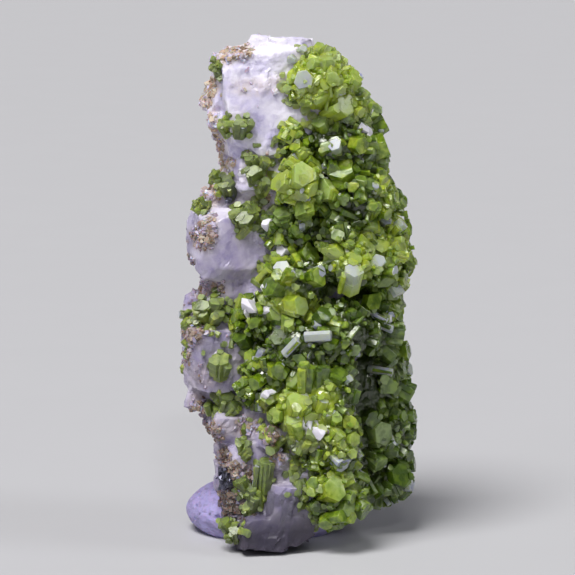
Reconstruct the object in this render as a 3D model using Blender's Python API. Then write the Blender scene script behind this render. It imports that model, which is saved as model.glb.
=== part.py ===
"""A pyromorphite specimen that stands in a lump of putty.

A tall piece of white quartz carries one crust of hexagonal yellow-green prisms
over its front and right side, with small clusters of the same crystals
scattered over the bare rock. Each thing that could be picked off on its own is
one object. Tables are in millimetres: x to the right, y away from the viewer
and z up from the table. Finished meshes are in metres.
"""

import math
import random
from collections import namedtuple

import bmesh
import bpy
from mathutils import Euler, Matrix, Vector
from mathutils.bvhtree import BVHTree

MM = 0.001

# The front view that the places were read from: pixels to a millimetre, the
# pixel above x = 0 at the foot, the rise of the view and the nearest depth.
PIXELS_PER_MM = 8.0
VIEW_FOOT_X = 302.0
VIEW_FOOT_Y = 558.0
VIEW_RISE = math.radians(8.0)
NEAREST_DEPTH = -12.0
# How far outside the specimen a look at it starts, from the front and behind.
LOOK_START = 40.0
BACK_LOOK_START = 60.0

# Room kept between two neighbouring solids, and the smallest edge that counts.
GAP = 0.5
TINY = 0.002

# Crust crystals: usual width, how far their caps stand out, how deep they root.
CRYSTAL_SPACING = 3.85
CRYSTAL_WIDTH = (2.6, 3.6)
CRYSTAL_PROUD = (0.7, 1.5)
CRYSTAL_ROOT = 2.6
CRYSTAL_TILT = math.radians(34.0)
CRYSTAL_SCATTER = 0.22
CRYSTAL_SEED = 7
PRISM_SIDES = 6
PRISM_TAPER = 0.94

# A crystal grows only where its place is this free of the swellings (1 is on
# their skin), this far from the rock and open this far ahead.
FREE_OF_LOBES = 0.97
FREE_OF_ROCK = 0.6
FREE_AHEAD = 4.0
CROWDED = 0.42

# The quartz core, from the top down. Each section is a rounded rectangle.
Section = namedtuple("Section", "z left right front back")
CORE = (
    Section(61.0, -8.0, 4.0, -3.0, 7.0),
    Section(56.0, -10.3, 6.0, -5.4, 9.0),
    Section(50.0, -8.6, 6.6, -5.2, 9.8),
    Section(46.0, -9.6, 7.6, -4.8, 10.4),
    Section(41.0, -12.2, 8.6, -5.8, 11.0),
    Section(36.0, -13.0, 9.2, -6.2, 11.6),
    Section(31.5, -12.6, 8.8, -6.0, 12.0),
    Section(26.0, -14.0, 8.4, -6.2, 12.0),
    Section(20.0, -13.6, 8.0, -7.0, 11.4),
    Section(15.0, -11.4, 8.0, -8.4, 11.0),
    Section(10.0, -10.2, 7.8, -9.6, 9.8),
    Section(5.0, -9.4, 5.0, -10.6, 7.0),
    Section(1.6, -8.2, 0.5, -10.6, 3.0),
)
CORE_SIDES = 14
CORE_SQUARENESS = 2.7
CORE_ROUGHNESS = 0.5
CORE_SEED = 1

# Blocks of quartz that break the core's outline into ledges and flat faces.
Block = namedtuple("Block", "name x y z wide deep tall turn seed")
BLOCKS = (
    Block("top block", -5.0, -1.0, 56.6, 11.0, 11.5, 13.0, (4, -5, 12), 3),
    Block("crest", -2.4, 1.5, 61.6, 7.6, 8.5, 6.2, (-6, 9, 20), 5),
    Block("crest left", -5.2, 0.5, 62.4, 4.0, 6.0, 4.0, (6, -12, 0), 6),
    Block("top left lump", -8.0, 0.5, 60.8, 3.6, 5.4, 3.0, (10, 14, 0), 8),
    Block("left knob", -10.2, 0.0, 56.6, 3.4, 6.0, 4.0, (0, 12, 20), 13),
    Block("knob ledge", -9.9, -2.0, 53.6, 3.2, 4.6, 3.4, (14, -10, 0), 14),
    Block("waist block", -5.4, -2.6, 48.0, 6.6, 6.4, 6.4, (-8, 6, 24), 15),
    Block("waist ledge", -9.4, 0.0, 45.6, 3.8, 6.0, 3.2, (8, -12, 10), 21),
    Block("left ledge", -11.0, 0.5, 43.2, 3.8, 6.0, 2.8, (0, 18, 8), 55),
    Block("smooth block", -9.4, -2.6, 38.4, 8.8, 8.6, 9.6, (-6, 4, 16), 34),
    Block("smooth block edge", -12.0, -0.5, 37.8, 4.0, 6.0, 5.0, (0, -8, 20), 35),
    Block("middle block", -9.6, -1.6, 31.4, 7.4, 8.0, 6.4, (6, 10, 10), 36),
    Block("olive ledge", -12.6, -1.0, 28.2, 3.8, 6.0, 3.4, (0, -14, 12), 37),
    Block("lower block", -10.4, -2.6, 24.6, 8.4, 8.8, 8.2, (5, -5, 14), 89),
    Block("lower block edge", -12.9, 0.0, 22.2, 3.8, 6.6, 5.4, (6, 8, -10), 90),
    Block("lower ledge", -11.6, -0.5, 18.6, 5.6, 7.4, 3.4, (0, 12, -8), 9),
    Block("lower slope", -8.8, -3.0, 15.6, 6.2, 8.0, 4.8, (8, 16, 10), 4),
    Block("foot block", -7.2, -4.4, 10.0, 6.0, 8.0, 6.6, (-4, 6, 18), 7),
    Block("foot edge", -7.8, -6.4, 5.0, 4.0, 5.4, 5.8, (0, -4, 8), 10),
    Block("clear facet", -1.8, -8.6, 5.2, 5.8, 5.4, 8.0, (8, 6, 24), 16),
    Block("toe", -5.2, -8.6, 2.5, 6.0, 6.4, 5.0, (0, 0, 12), 17),
    Block("white patch", 0.7, -9.6, 15.6, 5.4, 5.2, 3.2, (16, 6, 6), 18),
    Block("rough nodule", -3.8, -9.0, 14.6, 2.5, 3.2, 2.9, (0, 12, 25), 19),
    Block("pink nodule", -2.9, -9.4, 11.9, 2.2, 2.6, 2.2, (10, -8, 40), 29),
    Block("back plate", -2.6, 8.0, 50.0, 10.5, 7.0, 15.0, (6, 5, -10), 20),
    Block("back shoulder", 3.4, 10.0, 38.4, 9.5, 6.5, 12.0, (-5, -8, 15), 22),
    Block("back ledge", -6.8, 9.4, 30.5, 10.0, 8.0, 9.0, (4, 12, -14), 23),
    Block("back slab", -1.4, 10.0, 21.0, 12.0, 6.5, 9.5, (-8, -6, 8), 24),
    Block("back foot", 2.8, 7.8, 12.6, 8.5, 7.0, 8.0, (6, 10, 20), 25),
    Block("back ridge", -6.4, 9.6, 39.4, 6.0, 5.6, 7.6, (10, -6, 30), 26),
    Block("back step", 3.2, 10.0, 27.0, 8.0, 5.6, 7.4, (-10, 8, -12), 27),
    Block("back heel", -4.8, 6.8, 9.6, 8.0, 6.4, 7.0, (8, -12, 10), 28),
)
BLOCK_CUTS = 12
BLOCK_CUT_DEPTH = (0.68, 0.86)

# Small broken pieces that roughen the core's left side and back.
RUBBLE_COUNT = 34
RUBBLE_SIZE = (2.2, 4.2)
RUBBLE_AROUND = (0.5 * math.pi, 1.32 * math.pi)
RUBBLE_TURN = 25.0
RUBBLE_SEED = 38

# Hollows in the rock, seen from the front or, with a plus depth, on the back.
Pit = namedtuple("Pit", "x y z wide")
PITS = (
    Pit(-8.1, -6.6, 42.6, 1.7),
    Pit(-7.6, -5.0, 30.6, 2.4),
    Pit(-9.0, -5.6, 11.9, 2.2),
    Pit(-6.6, -4.8, 48.6, 2.2),
    Pit(-5.4, 13.2, 43.0, 3.6),
    Pit(4.6, 13.6, 31.4, 3.4),
    Pit(-7.6, 12.4, 25.0, 2.8),
    Pit(2.2, 13.0, 16.6, 3.0),
)
PIT_UNEVENNESS = (0.8, 1.25)

# The crust's swellings. px and py place each centre in the front view.
Lobe = namedtuple("Lobe", "px py depth wide deep tall")
LOBES = (
    Lobe(318, 82, -3.6, 8.8, 9.0, 7.4),
    Lobe(341, 112, -1.0, 6.0, 9.6, 9.0),
    Lobe(334, 146, -2.8, 9.0, 8.0, 8.2),
    Lobe(301, 186, -6.8, 5.0, 6.4, 6.4),
    Lobe(294, 142, -4.4, 4.6, 5.4, 5.2),
    Lobe(360, 164, 0.4, 6.0, 9.0, 8.0),
    Lobe(350, 196, -3.8, 9.4, 8.0, 8.4),
    Lobe(373, 206, 1.2, 5.0, 9.6, 8.8),
    Lobe(291, 230, -5.0, 7.0, 5.6, 5.0),
    Lobe(338, 238, -4.2, 8.0, 7.2, 6.4),
    Lobe(382, 256, -0.2, 6.8, 10.4, 10.4),
    Lobe(297, 282, -6.6, 8.4, 6.8, 7.6),
    Lobe(350, 270, -6.4, 6.6, 6.2, 5.6),
    Lobe(262, 318, -5.6, 6.8, 5.6, 7.0),
    Lobe(376, 324, 1.0, 6.0, 10.8, 8.4),
    Lobe(336, 332, -6.6, 9.4, 7.8, 7.4),
    Lobe(300, 350, -7.6, 8.4, 6.8, 8.0),
    Lobe(265, 377, -6.8, 5.8, 5.8, 7.2),
    Lobe(318, 396, -7.8, 9.4, 7.6, 8.4),
    Lobe(362, 392, -0.2, 6.0, 7.6, 13.0),
    Lobe(362, 448, 0.2, 6.0, 8.0, 8.0),
    Lobe(352, 300, -2.8, 7.0, 6.0, 6.0),
    Lobe(384, 376, 2.6, 6.0, 10.0, 9.0),
    Lobe(328, 440, -7.8, 8.6, 8.2, 9.6),
    Lobe(298, 406, -8.4, 6.2, 6.2, 5.4),
    Lobe(388, 430, 3.4, 6.6, 10.0, 9.4),
    Lobe(332, 492, -7.6, 8.4, 8.2, 8.4),
    Lobe(386, 482, 3.2, 6.4, 8.8, 6.2),
    Lobe(358, 140, 7.0, 6.2, 7.4, 11.0),
    Lobe(382, 232, 8.6, 6.6, 7.6, 13.0),
    Lobe(376, 318, 9.6, 6.2, 7.4, 12.0),
    Lobe(380, 404, 9.6, 6.4, 7.0, 12.0),
)
LOBE_FULLNESS = 1.12
LOBE_UNEVENNESS = (0.96, 1.06)

# Share of the triangles that stays when slivers and flat spans are merged.
CRUST_DETAIL = 0.66
ROCK_DETAIL = 0.62
CLUSTER_DETAIL = 0.75
PUTTY_DETAIL = 0.6

# Single crystals that the eye picks out: cap centre in the front view, the
# cap's lean to the right of straight up, how far it turns to the viewer, the
# width across, the length and how far the cap stands out from the crust.
Crystal = namedtuple("Crystal", "px py lean toward width length proud")
CRUST_CRYSTALS = (
    Crystal(302, 308, 96, 32, 3.1, 4.6, 1.3),
    Crystal(329, 338, 80, 28, 2.3, 4.2, 1.2),
    Crystal(326, 314, 40, 48, 2.6, 3.8, 1.2),
    Crystal(269, 357, 20, 10, 2.2, 4.6, 1.3),
    Crystal(307, 366, 5, 18, 2.0, 4.8, 1.2),
    Crystal(322, 366, 4, 14, 2.2, 4.8, 1.1),
    Crystal(340, 374, 30, 36, 3.0, 4.0, 1.2),
    Crystal(392, 330, 110, 16, 2.4, 5.6, 1.4),
    Crystal(395, 381, 96, 22, 2.2, 4.8, 1.2),
    Crystal(346, 106, 60, 46, 3.6, 4.2, 1.0),
    Crystal(356, 76, 44, 24, 2.6, 3.8, 1.3),
    Crystal(304, 178, 8, 38, 3.1, 4.6, 1.2),
    Crystal(316, 193, 100, 26, 2.6, 3.8, 1.2),
    Crystal(310, 254, 60, 42, 3.1, 4.2, 1.1),
    Crystal(282, 268, -20, 46, 2.6, 3.8, 1.1),
    Crystal(320, 277, 70, 44, 2.6, 3.8, 1.1),
    Crystal(354, 270, 10, 40, 2.8, 4.0, 1.2),
    Crystal(378, 261, 30, 52, 2.6, 4.0, 1.3),
    Crystal(404, 246, 76, 24, 2.4, 4.2, 1.2),
    Crystal(408, 231, 70, 20, 2.6, 4.0, 1.2),
    Crystal(336, 148, 6, 26, 2.2, 4.4, 1.1),
    Crystal(412, 352, 80, 16, 2.6, 4.0, 1.0),
    Crystal(300, 400, 14, 44, 3.0, 4.2, 1.3),
    Crystal(344, 466, 130, 40, 2.2, 4.4, 1.2),
    Crystal(350, 508, 70, 40, 3.0, 4.2, 1.0),
    Crystal(336, 488, 50, 56, 3.2, 4.0, 1.1),
    Crystal(416, 434, 66, 18, 2.8, 4.0, 1.1),
    Crystal(416, 489, 84, 20, 2.4, 4.4, 1.1),
    Crystal(384, 503, 150, 24, 2.2, 4.0, 1.0),
    Crystal(268, 396, 20, 60, 2.4, 3.8, 1.1),
    Crystal(240, 334, -30, 40, 2.4, 3.8, 1.0),
    Crystal(293, 418, -14, 36, 2.2, 4.4, 1.2),
)

# Clusters on the bare rock. Their crystals sit where the view meets the rock.
CLUSTERS = {
    "crystals_top_edge": (
        Crystal(217, 67, -50, 20, 1.2, 1.8, 0.5),
        Crystal(221, 71, -20, 30, 1.0, 1.6, 0.4),
    ),
    "cluster_upper_left": (
        Crystal(228, 127, -30, 40, 1.5, 2.4, 0.9),
        Crystal(238, 127, 4, 38, 1.8, 2.6, 1.1),
        Crystal(248, 126, 34, 36, 1.6, 2.4, 0.9),
    ),
    "cluster_waist": (
        Crystal(252, 161, -20, 36, 1.7, 2.6, 1.0),
        Crystal(262, 164, 30, 30, 1.6, 2.4, 0.9),
        Crystal(256, 174, -10, 50, 2.0, 2.8, 1.1),
        Crystal(263, 184, 24, 44, 1.6, 2.4, 0.9),
    ),
    "cluster_left_edge": (
        Crystal(218, 178, -40, 24, 1.6, 2.4, 0.7),
        Crystal(227, 184, -10, 40, 1.9, 2.6, 0.9),
    ),
    "cluster_shoulder": (
        Crystal(235, 214, -34, 36, 1.8, 2.6, 1.0),
        Crystal(243, 219, 0, 60, 2.1, 2.8, 1.2),
        Crystal(250, 212, 34, 36, 1.7, 2.6, 1.0),
        Crystal(245, 228, 40, 30, 1.6, 2.4, 0.9),
    ),
    "crystals_ledge": (
        Crystal(199, 206, -34, 20, 1.1, 1.8, 0.5),
        Crystal(205, 209, 10, 34, 1.1, 1.8, 0.5),
    ),
    "cluster_middle_left": (
        Crystal(205, 308, -24, 44, 2.3, 3.0, 1.2),
        Crystal(217, 304, 10, 36, 2.0, 2.8, 1.1),
        Crystal(219, 315, 24, 46, 2.1, 3.0, 1.1),
    ),
    "crystals_lower_edge": (
        Crystal(189, 322, -50, 22, 1.7, 2.4, 0.7),
        Crystal(195, 327, -20, 40, 1.5, 2.2, 0.7),
    ),
    "stubby_prism": (
        Crystal(219, 361, 4, 40, 2.7, 3.4, 1.4),
    ),
    "cluster_fork": (
        Crystal(217, 405, -36, 32, 1.8, 3.2, 1.3),
        Crystal(229, 400, 8, 40, 2.2, 3.0, 1.2),
        Crystal(237, 409, 40, 34, 1.8, 3.0, 1.2),
    ),
    "crystals_nodule": (
        Crystal(245, 446, -8, 40, 1.6, 2.4, 0.9),
        Crystal(249, 452, 40, 34, 1.3, 2.2, 0.7),
    ),
    "long_prism": (
        Crystal(268, 471, 4, 14, 2.1, 4.4, 1.6),
    ),
    "prism_fan": (
        Crystal(243, 492, -34, 20, 1.6, 4.2, 1.2),
        Crystal(251, 494, -10, 24, 1.8, 4.4, 1.4),
        Crystal(258, 503, 16, 26, 1.7, 4.0, 1.2),
        Crystal(250, 512, -20, 40, 1.6, 3.2, 1.0),
    ),
    "cluster_toe": (
        Crystal(227, 526, -40, 26, 1.7, 2.6, 0.8),
        Crystal(233, 533, -8, 44, 1.6, 2.4, 0.8),
    ),
}

# Clusters on the hidden back, placed by x and z and seen from behind.
BACK_CLUSTERS = {
    "back_cluster_top": ((-4.5, 55.0), (-2.6, 54.2), (-3.8, 52.6)),
    "back_cluster_shoulder": ((1.5, 41.5), (3.5, 40.2), (1.8, 39.0)),
    "back_cluster_middle": ((-7.5, 33.5), (-5.6, 32.2), (-7.0, 31.2)),
    "back_cluster_low": ((-1.5, 22.5), (0.4, 21.2), (-1.2, 20.2)),
    "back_cluster_foot": ((1.5, 11.5), (3.2, 10.4)),
}
BACK_CRYSTAL_WIDTH = 1.9
BACK_CRYSTAL_LENGTH = 2.8
BACK_CRYSTAL_PROUD = 1.1
BACK_SWING = 0.5
BACK_SWING_STEP = 2.4

# How thick the mound under a cluster is, against its width, and how far it
# reaches past the roots, against the broadest crystal.
BED_THICKNESS = 0.45
BED_MARGIN = 0.3

# A few dark cubes of a lead ore sit at the rock's lower left edge.
ORE_PLACES = ((226, 478), (231, 481), (228, 486))
ORE_WIDTH = 1.1
ORE_PROUD = 0.35 * ORE_WIDTH + 0.6 * GAP

# The putty lump: centre, size, height above the table and roughness.
PUTTY_CENTRE = (-4.6, 5.0)
PUTTY_WIDE = 21.0
PUTTY_DEEP = 19.0
PUTTY_TALL = 7.2
PUTTY_BELOW = 2.6
PUTTY_ROUGHNESS = 0.18
PUTTY_SEED = 11

COLOURS = {
    "quartz": ((0.62, 0.58, 0.76, 1.0), 0.42, 0.0),
    "pyromorphite": ((0.30, 0.42, 0.03, 1.0), 0.22, 0.0),
    "lead ore": ((0.10, 0.10, 0.12, 1.0), 0.30, 0.9),
    "putty": ((0.42, 0.40, 0.56, 1.0), 0.70, 0.0),
}


def clear_scene():
    """Remove what the file opened with."""
    for item in list(bpy.data.objects):
        bpy.data.objects.remove(item, do_unlink=True)


def surface(name):
    """Give the named mineral's material."""
    colour, roughness, metallic = COLOURS[name]
    material = bpy.data.materials.get(name) or bpy.data.materials.new(name)
    material.use_nodes = True
    shader = material.node_tree.nodes["Principled BSDF"]
    shader.inputs["Base Color"].default_value = colour
    shader.inputs["Roughness"].default_value = roughness
    shader.inputs["Metallic"].default_value = metallic
    return material


def new_mesh(bm):
    """Turn a working mesh in millimetres into mesh data, and free it."""
    bmesh.ops.recalc_face_normals(bm, faces=bm.faces)
    mesh = bpy.data.meshes.new("form")
    bm.to_mesh(mesh)
    bm.free()
    return mesh


def combine(first, others, operation):
    """Unite a mesh with others, or cut them out of it, as one new mesh."""
    scene_objects = bpy.context.scene.collection
    operands = bpy.data.collections.new("operands")
    scene_objects.children.link(operands)
    target = bpy.data.objects.new("target", first)
    scene_objects.objects.link(target)
    for mesh in others:
        operands.objects.link(bpy.data.objects.new("operand", mesh))
    cut = target.modifiers.new("combine", "BOOLEAN")
    cut.operation = operation
    cut.solver = "EXACT"
    cut.operand_type = "COLLECTION"
    cut.collection = operands
    graph = bpy.context.evaluated_depsgraph_get()
    result = bpy.data.meshes.new_from_object(target.evaluated_get(graph))
    for item in [target, *operands.objects]:
        bpy.data.objects.remove(item, do_unlink=True)
    bpy.data.collections.remove(operands)
    return result


def largest_body(mesh):
    """Keep only the biggest connected body of a mesh, cleaned and triangulated."""
    bm = bmesh.new()
    bm.from_mesh(mesh)
    bmesh.ops.remove_doubles(bm, verts=bm.verts, dist=TINY)
    bmesh.ops.dissolve_degenerate(bm, edges=bm.edges, dist=TINY)
    bmesh.ops.triangulate(bm, faces=bm.faces)
    left = set(bm.verts)
    bodies = []
    while left:
        body = []
        front = [left.pop()]
        while front:
            vert = front.pop()
            body.append(vert)
            for edge in vert.link_edges:
                other = edge.other_vert(vert)
                if other in left:
                    left.remove(other)
                    front.append(other)
        bodies.append(body)
    bodies.sort(key=len)
    for body in bodies[:-1]:
        bmesh.ops.delete(bm, geom=body, context="VERTS")
    return new_mesh(bm)


def simplified(mesh, share):
    """Merge a mesh's slivers until only a share of its triangles is left."""
    item = bpy.data.objects.new("form", mesh)
    bpy.context.scene.collection.objects.link(item)
    merge = item.modifiers.new("merge", "DECIMATE")
    merge.ratio = share
    graph = bpy.context.evaluated_depsgraph_get()
    result = bpy.data.meshes.new_from_object(item.evaluated_get(graph))
    bpy.data.objects.remove(item, do_unlink=True)
    return result


def add_object(name, mesh, mineral):
    """Put a finished mesh, in millimetres, into the scene in metres."""
    mesh.transform(Matrix.Scale(MM, 4))
    mesh.materials.clear()
    mesh.materials.append(surface(mineral))
    item = bpy.data.objects.new(name, mesh)
    bpy.context.scene.collection.objects.link(item)
    return item


def view_point(px, py):
    """Give the point of the picture plane that a pixel of the view stands for."""
    across = (px - VIEW_FOOT_X) / PIXELS_PER_MM
    up = (VIEW_FOOT_Y - py) / PIXELS_PER_MM
    return Vector((across, NEAREST_DEPTH + up * math.sin(VIEW_RISE), up * math.cos(VIEW_RISE)))


def view_direction():
    """Give the direction in which the view looks."""
    return Vector((0.0, math.cos(VIEW_RISE), -math.sin(VIEW_RISE)))


def at_depth(px, py, depth):
    """Give the point at one depth that a pixel of the view shows."""
    start = view_point(px, py)
    return start + view_direction() * ((depth - start.y) / math.cos(VIEW_RISE))


def core_form(margin):
    """Loft the quartz core through its sections, grown by a margin."""
    draws = random.Random(CORE_SEED)
    bm = bmesh.new()
    rings = []
    lift = [margin] + [0.0] * (len(CORE) - 2) + [-margin]
    for section, rise in zip(CORE, lift):
        ring = bmesh.ops.create_circle(bm, segments=CORE_SIDES, radius=1.0)["verts"]
        for vert in ring:
            angle = math.atan2(vert.co.y, vert.co.x)
            cosine = abs(math.cos(angle)) ** CORE_SQUARENESS
            sine = abs(math.sin(angle)) ** CORE_SQUARENESS
            reach = (cosine + sine) ** (-1.0 / CORE_SQUARENESS)
            half_wide = (section.right - section.left) / 2 + margin
            half_deep = (section.back - section.front) / 2 + margin
            rough = draws.uniform(-CORE_ROUGHNESS, CORE_ROUGHNESS)
            vert.co.x = (section.right + section.left) / 2 + math.cos(angle) * (half_wide * reach + rough)
            vert.co.y = (section.back + section.front) / 2 + math.sin(angle) * (half_deep * reach + rough)
            vert.co.z = section.z + rise + draws.uniform(-CORE_ROUGHNESS, CORE_ROUGHNESS) * (rise == 0.0)
        rings.append(ring)
    for upper, lower in zip(rings, rings[1:]):
        edges = ring_edges(upper) + ring_edges(lower)
        bmesh.ops.bridge_loops(bm, edges=edges)
    bmesh.ops.contextual_create(bm, geom=rings[0])
    bmesh.ops.contextual_create(bm, geom=rings[-1])
    bmesh.ops.triangulate(bm, faces=bm.faces)
    return new_mesh(bm)


def ring_edges(ring):
    """Give the edges that run round one ring of vertices."""
    members = set(ring)
    edges = {edge for vert in ring for edge in vert.link_edges if edge.other_vert(vert) in members}
    return sorted(edges, key=lambda edge: edge.index)


def block_form(block, margin):
    """Break a box into a block of rock with flat faces, grown by a margin."""
    draws = random.Random(block.seed)
    half = Vector((block.wide, block.deep, block.tall)) / 2
    bm = bmesh.new()
    bmesh.ops.create_cube(bm, size=2.0)
    bmesh.ops.scale(bm, vec=half + Vector((margin, margin, margin)), verts=bm.verts)
    for _ in range(BLOCK_CUTS):
        facing = Vector([draws.gauss(0.0, 1.0) for _ in range(3)]).normalized()
        reach = sum(abs(part) * size for part, size in zip(facing, half))
        depth = reach * draws.uniform(*BLOCK_CUT_DEPTH) + margin
        slice_off(bm, facing * depth, facing)
    turn = Euler([math.radians(part) for part in block.turn]).to_matrix().to_4x4()
    bmesh.ops.transform(bm, matrix=turn, verts=bm.verts)
    bmesh.ops.translate(bm, vec=(block.x, block.y, block.z), verts=bm.verts)
    return new_mesh(bm)


def slice_off(bm, place, facing):
    """Cut away what lies beyond a plane and close the flat that is left."""
    geometry = bm.verts[:] + bm.edges[:] + bm.faces[:]
    cut = bmesh.ops.bisect_plane(
        bm, geom=geometry, dist=TINY, plane_co=place, plane_no=facing, clear_outer=True)
    edges = [part for part in cut["geom_cut"] if isinstance(part, bmesh.types.BMEdge)]
    if edges:
        bmesh.ops.holes_fill(bm, edges=edges)


def rubble_forms(margin):
    """Scatter small broken pieces over the core, grown by a margin."""
    draws = random.Random(RUBBLE_SEED)
    forms = []
    for number in range(RUBBLE_COUNT):
        upper = draws.randrange(len(CORE) - 1)
        share = draws.random()
        around = draws.uniform(*RUBBLE_AROUND)
        wide, deep, tall = (draws.uniform(*RUBBLE_SIZE) for _ in range(3))
        turn = [draws.uniform(-RUBBLE_TURN, RUBBLE_TURN) for _ in range(3)]
        left, right, front, back, height = (
            CORE[upper + 1][part] * share + CORE[upper][part] * (1.0 - share) for part in (1, 2, 3, 4, 0))
        x = (left + right) / 2 + math.cos(around) * (right - left) / 2
        y = (front + back) / 2 + math.sin(around) * (back - front) / 2
        forms.append(block_form(Block("rubble", x, y, height, wide, deep, tall, turn, number), margin))
    return forms


def pit_form(pit, number):
    """Give the uneven ball that hollows a pit."""
    draws = random.Random(number)
    bm = bmesh.new()
    bmesh.ops.create_icosphere(bm, subdivisions=1, radius=pit.wide / 2)
    for vert in bm.verts:
        vert.co *= draws.uniform(*PIT_UNEVENNESS)
    bmesh.ops.translate(bm, vec=(pit.x, pit.y, pit.z), verts=bm.verts)
    return new_mesh(bm)


def cut_level(mesh):
    """Cut off what would reach below the table."""
    bm = bmesh.new()
    bm.from_mesh(mesh)
    slice_off(bm, Vector((0.0, 0.0, 0.0)), Vector((0.0, 0.0, -1.0)))
    bmesh.ops.triangulate(bm, faces=bm.faces)
    return new_mesh(bm)


def rock_forms(margin):
    """Give the core and the blocks, all grown by a margin."""
    return [core_form(margin)] + [block_form(block, margin) for block in BLOCKS] + rubble_forms(margin)


def lobe_centre(lobe):
    """Give the middle of one swelling of the crust."""
    return at_depth(lobe.px, lobe.py, lobe.depth)


def lobe_size(lobe):
    """Give the three half sizes of one swelling."""
    return Vector((lobe.wide, lobe.deep, lobe.tall)) / 2


def lobe_form(lobe, number):
    """Give one swelling of the crust as an uneven ball with few faces."""
    draws = random.Random(number)
    bm = bmesh.new()
    bmesh.ops.create_icosphere(bm, subdivisions=1, radius=LOBE_FULLNESS)
    bmesh.ops.rotate(bm, cent=(0, 0, 0), matrix=Matrix.Rotation(number, 3, "Z"), verts=bm.verts)
    for vert in bm.verts:
        vert.co *= draws.uniform(*LOBE_UNEVENNESS)
    bmesh.ops.scale(bm, vec=lobe_size(lobe), verts=bm.verts)
    bmesh.ops.translate(bm, vec=lobe_centre(lobe), verts=bm.verts)
    return new_mesh(bm)


def lobe_depth(lobe, place):
    """Say how deep a place lies in a swelling: under 1 is inside it."""
    offset = place - lobe_centre(lobe)
    size = lobe_size(lobe)
    return math.sqrt(sum((offset[i] / size[i]) ** 2 for i in range(3)))


def crust_hit(px, py):
    """Give the first place where the view at a pixel meets a swelling."""
    start = view_point(px, py)
    ahead = view_direction()
    nearest = None
    for lobe in LOBES:
        size = lobe_size(lobe)
        offset = start - lobe_centre(lobe)
        slope = [ahead[i] / size[i] for i in range(3)]
        place = [offset[i] / size[i] for i in range(3)]
        a = sum(s * s for s in slope)
        b = sum(s * p for s, p in zip(slope, place))
        c = sum(p * p for p in place) - 1.0
        inside = b * b - a * c
        if inside > 0.0:
            travel = (-b - math.sqrt(inside)) / a
            if nearest is None or travel < nearest:
                nearest = travel
    return None if nearest is None else start + ahead * nearest


def leaning(lean, toward):
    """Give the axis of a crystal that leans to the right and to the viewer."""
    lean = math.radians(lean)
    toward = math.radians(toward)
    flat = math.cos(toward)
    return Vector((flat * math.sin(lean), -math.sin(toward), flat * math.cos(lean)))


def prism_form(cap, axis, width, length, turn):
    """Give a six-sided prism whose flat end is centred on the cap."""
    bm = bmesh.new()
    radius = width / 2
    bmesh.ops.create_cone(
        bm, cap_ends=True, segments=PRISM_SIDES, radius1=radius * PRISM_TAPER, radius2=radius, depth=length)
    bmesh.ops.translate(bm, vec=(0.0, 0.0, -length / 2), verts=bm.verts)
    bmesh.ops.rotate(bm, cent=(0, 0, 0), matrix=Matrix.Rotation(turn, 3, "Z"), verts=bm.verts)
    upright = Vector((0.0, 0.0, 1.0)).rotation_difference(axis).to_matrix()
    bmesh.ops.rotate(bm, cent=(0, 0, 0), matrix=upright, verts=bm.verts)
    bmesh.ops.translate(bm, vec=cap, verts=bm.verts)
    return new_mesh(bm)


def crust_sites(rock):
    """Spread crystals evenly over the open side of every swelling."""
    draws = random.Random(CRYSTAL_SEED)
    sites = []
    for number, lobe in enumerate(LOBES):
        centre = lobe_centre(lobe)
        size = lobe_size(lobe)
        middle = (size.x + size.y + size.z) / 3
        count = int(4 * math.pi * middle ** 2 / CRYSTAL_SPACING ** 2)
        for step in range(count):
            rise = 1.0 - 2.0 * (step + 0.5) / count
            angle = step * math.pi * (3.0 - math.sqrt(5.0)) + number
            flat = math.sqrt(1.0 - rise * rise)
            facing = Vector((flat * math.cos(angle), flat * math.sin(angle), rise))
            facing += Vector([draws.uniform(-CRYSTAL_SCATTER, CRYSTAL_SCATTER) for _ in range(3)])
            facing.normalize()
            tilt = Vector([draws.gauss(0.0, 1.0) for _ in range(3)])
            amount = draws.random() * math.tan(CRYSTAL_TILT)
            width = draws.uniform(*CRYSTAL_WIDTH)
            proud = draws.uniform(*CRYSTAL_PROUD)
            turn = draws.uniform(0.0, math.pi)
            place = centre + Vector([facing[i] * size[i] for i in range(3)])
            normal = Vector([facing[i] / size[i] for i in range(3)]).normalized()
            axis = (normal + tilt.normalized() * amount).normalized()
            cap = place + axis * proud
            if is_open(place, normal, lobe, rock):
                sites.append((cap, axis, width, proud + CRYSTAL_ROOT, turn))
    return sites


def is_open(place, normal, lobe, rock):
    """Say whether a place on a swelling is clear of the rock and its neighbours."""
    if any(lobe_depth(other, place) < FREE_OF_LOBES for other in LOBES if other is not lobe):
        return False
    found, facing, _, distance = rock.find_nearest(place)
    outside = (place - found).dot(facing) > 0.0
    return outside and distance > FREE_OF_ROCK and rock.ray_cast(place, normal, FREE_AHEAD)[0] is None


def named_crystals():
    """Give the crust's single crystals, each rooted where the view meets it."""
    sites = []
    for number, crystal in enumerate(CRUST_CRYSTALS):
        place = crust_hit(crystal.px, crystal.py)
        if place is None:
            place = nearest_rim(crystal)
        axis = leaning(crystal.lean, crystal.toward)
        cap = place - view_direction() * crystal.proud
        sites.append((cap, axis, crystal.width, crystal.length, number * 0.4))
    return sites


def nearest_rim(crystal):
    """Step inward from a pixel beside the crust until the view meets it."""
    for step in range(1, 200):
        place = crust_hit(crystal.px - step * 0.5, crystal.py)
        if place is not None:
            outward = Vector((step * 0.5 / PIXELS_PER_MM, 0.0, 0.0))
            return place + outward
    raise ValueError("a crystal lies nowhere near the crust")


def without_crowding(sites, first):
    """Leave out the sites that stand where a chosen crystal already is."""
    kept = []
    for site in sites:
        near = [other for other in first if (site[0] - other[0]).length < (site[2] + other[2]) * CROWDED]
        if not near:
            kept.append(site)
    return kept


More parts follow.
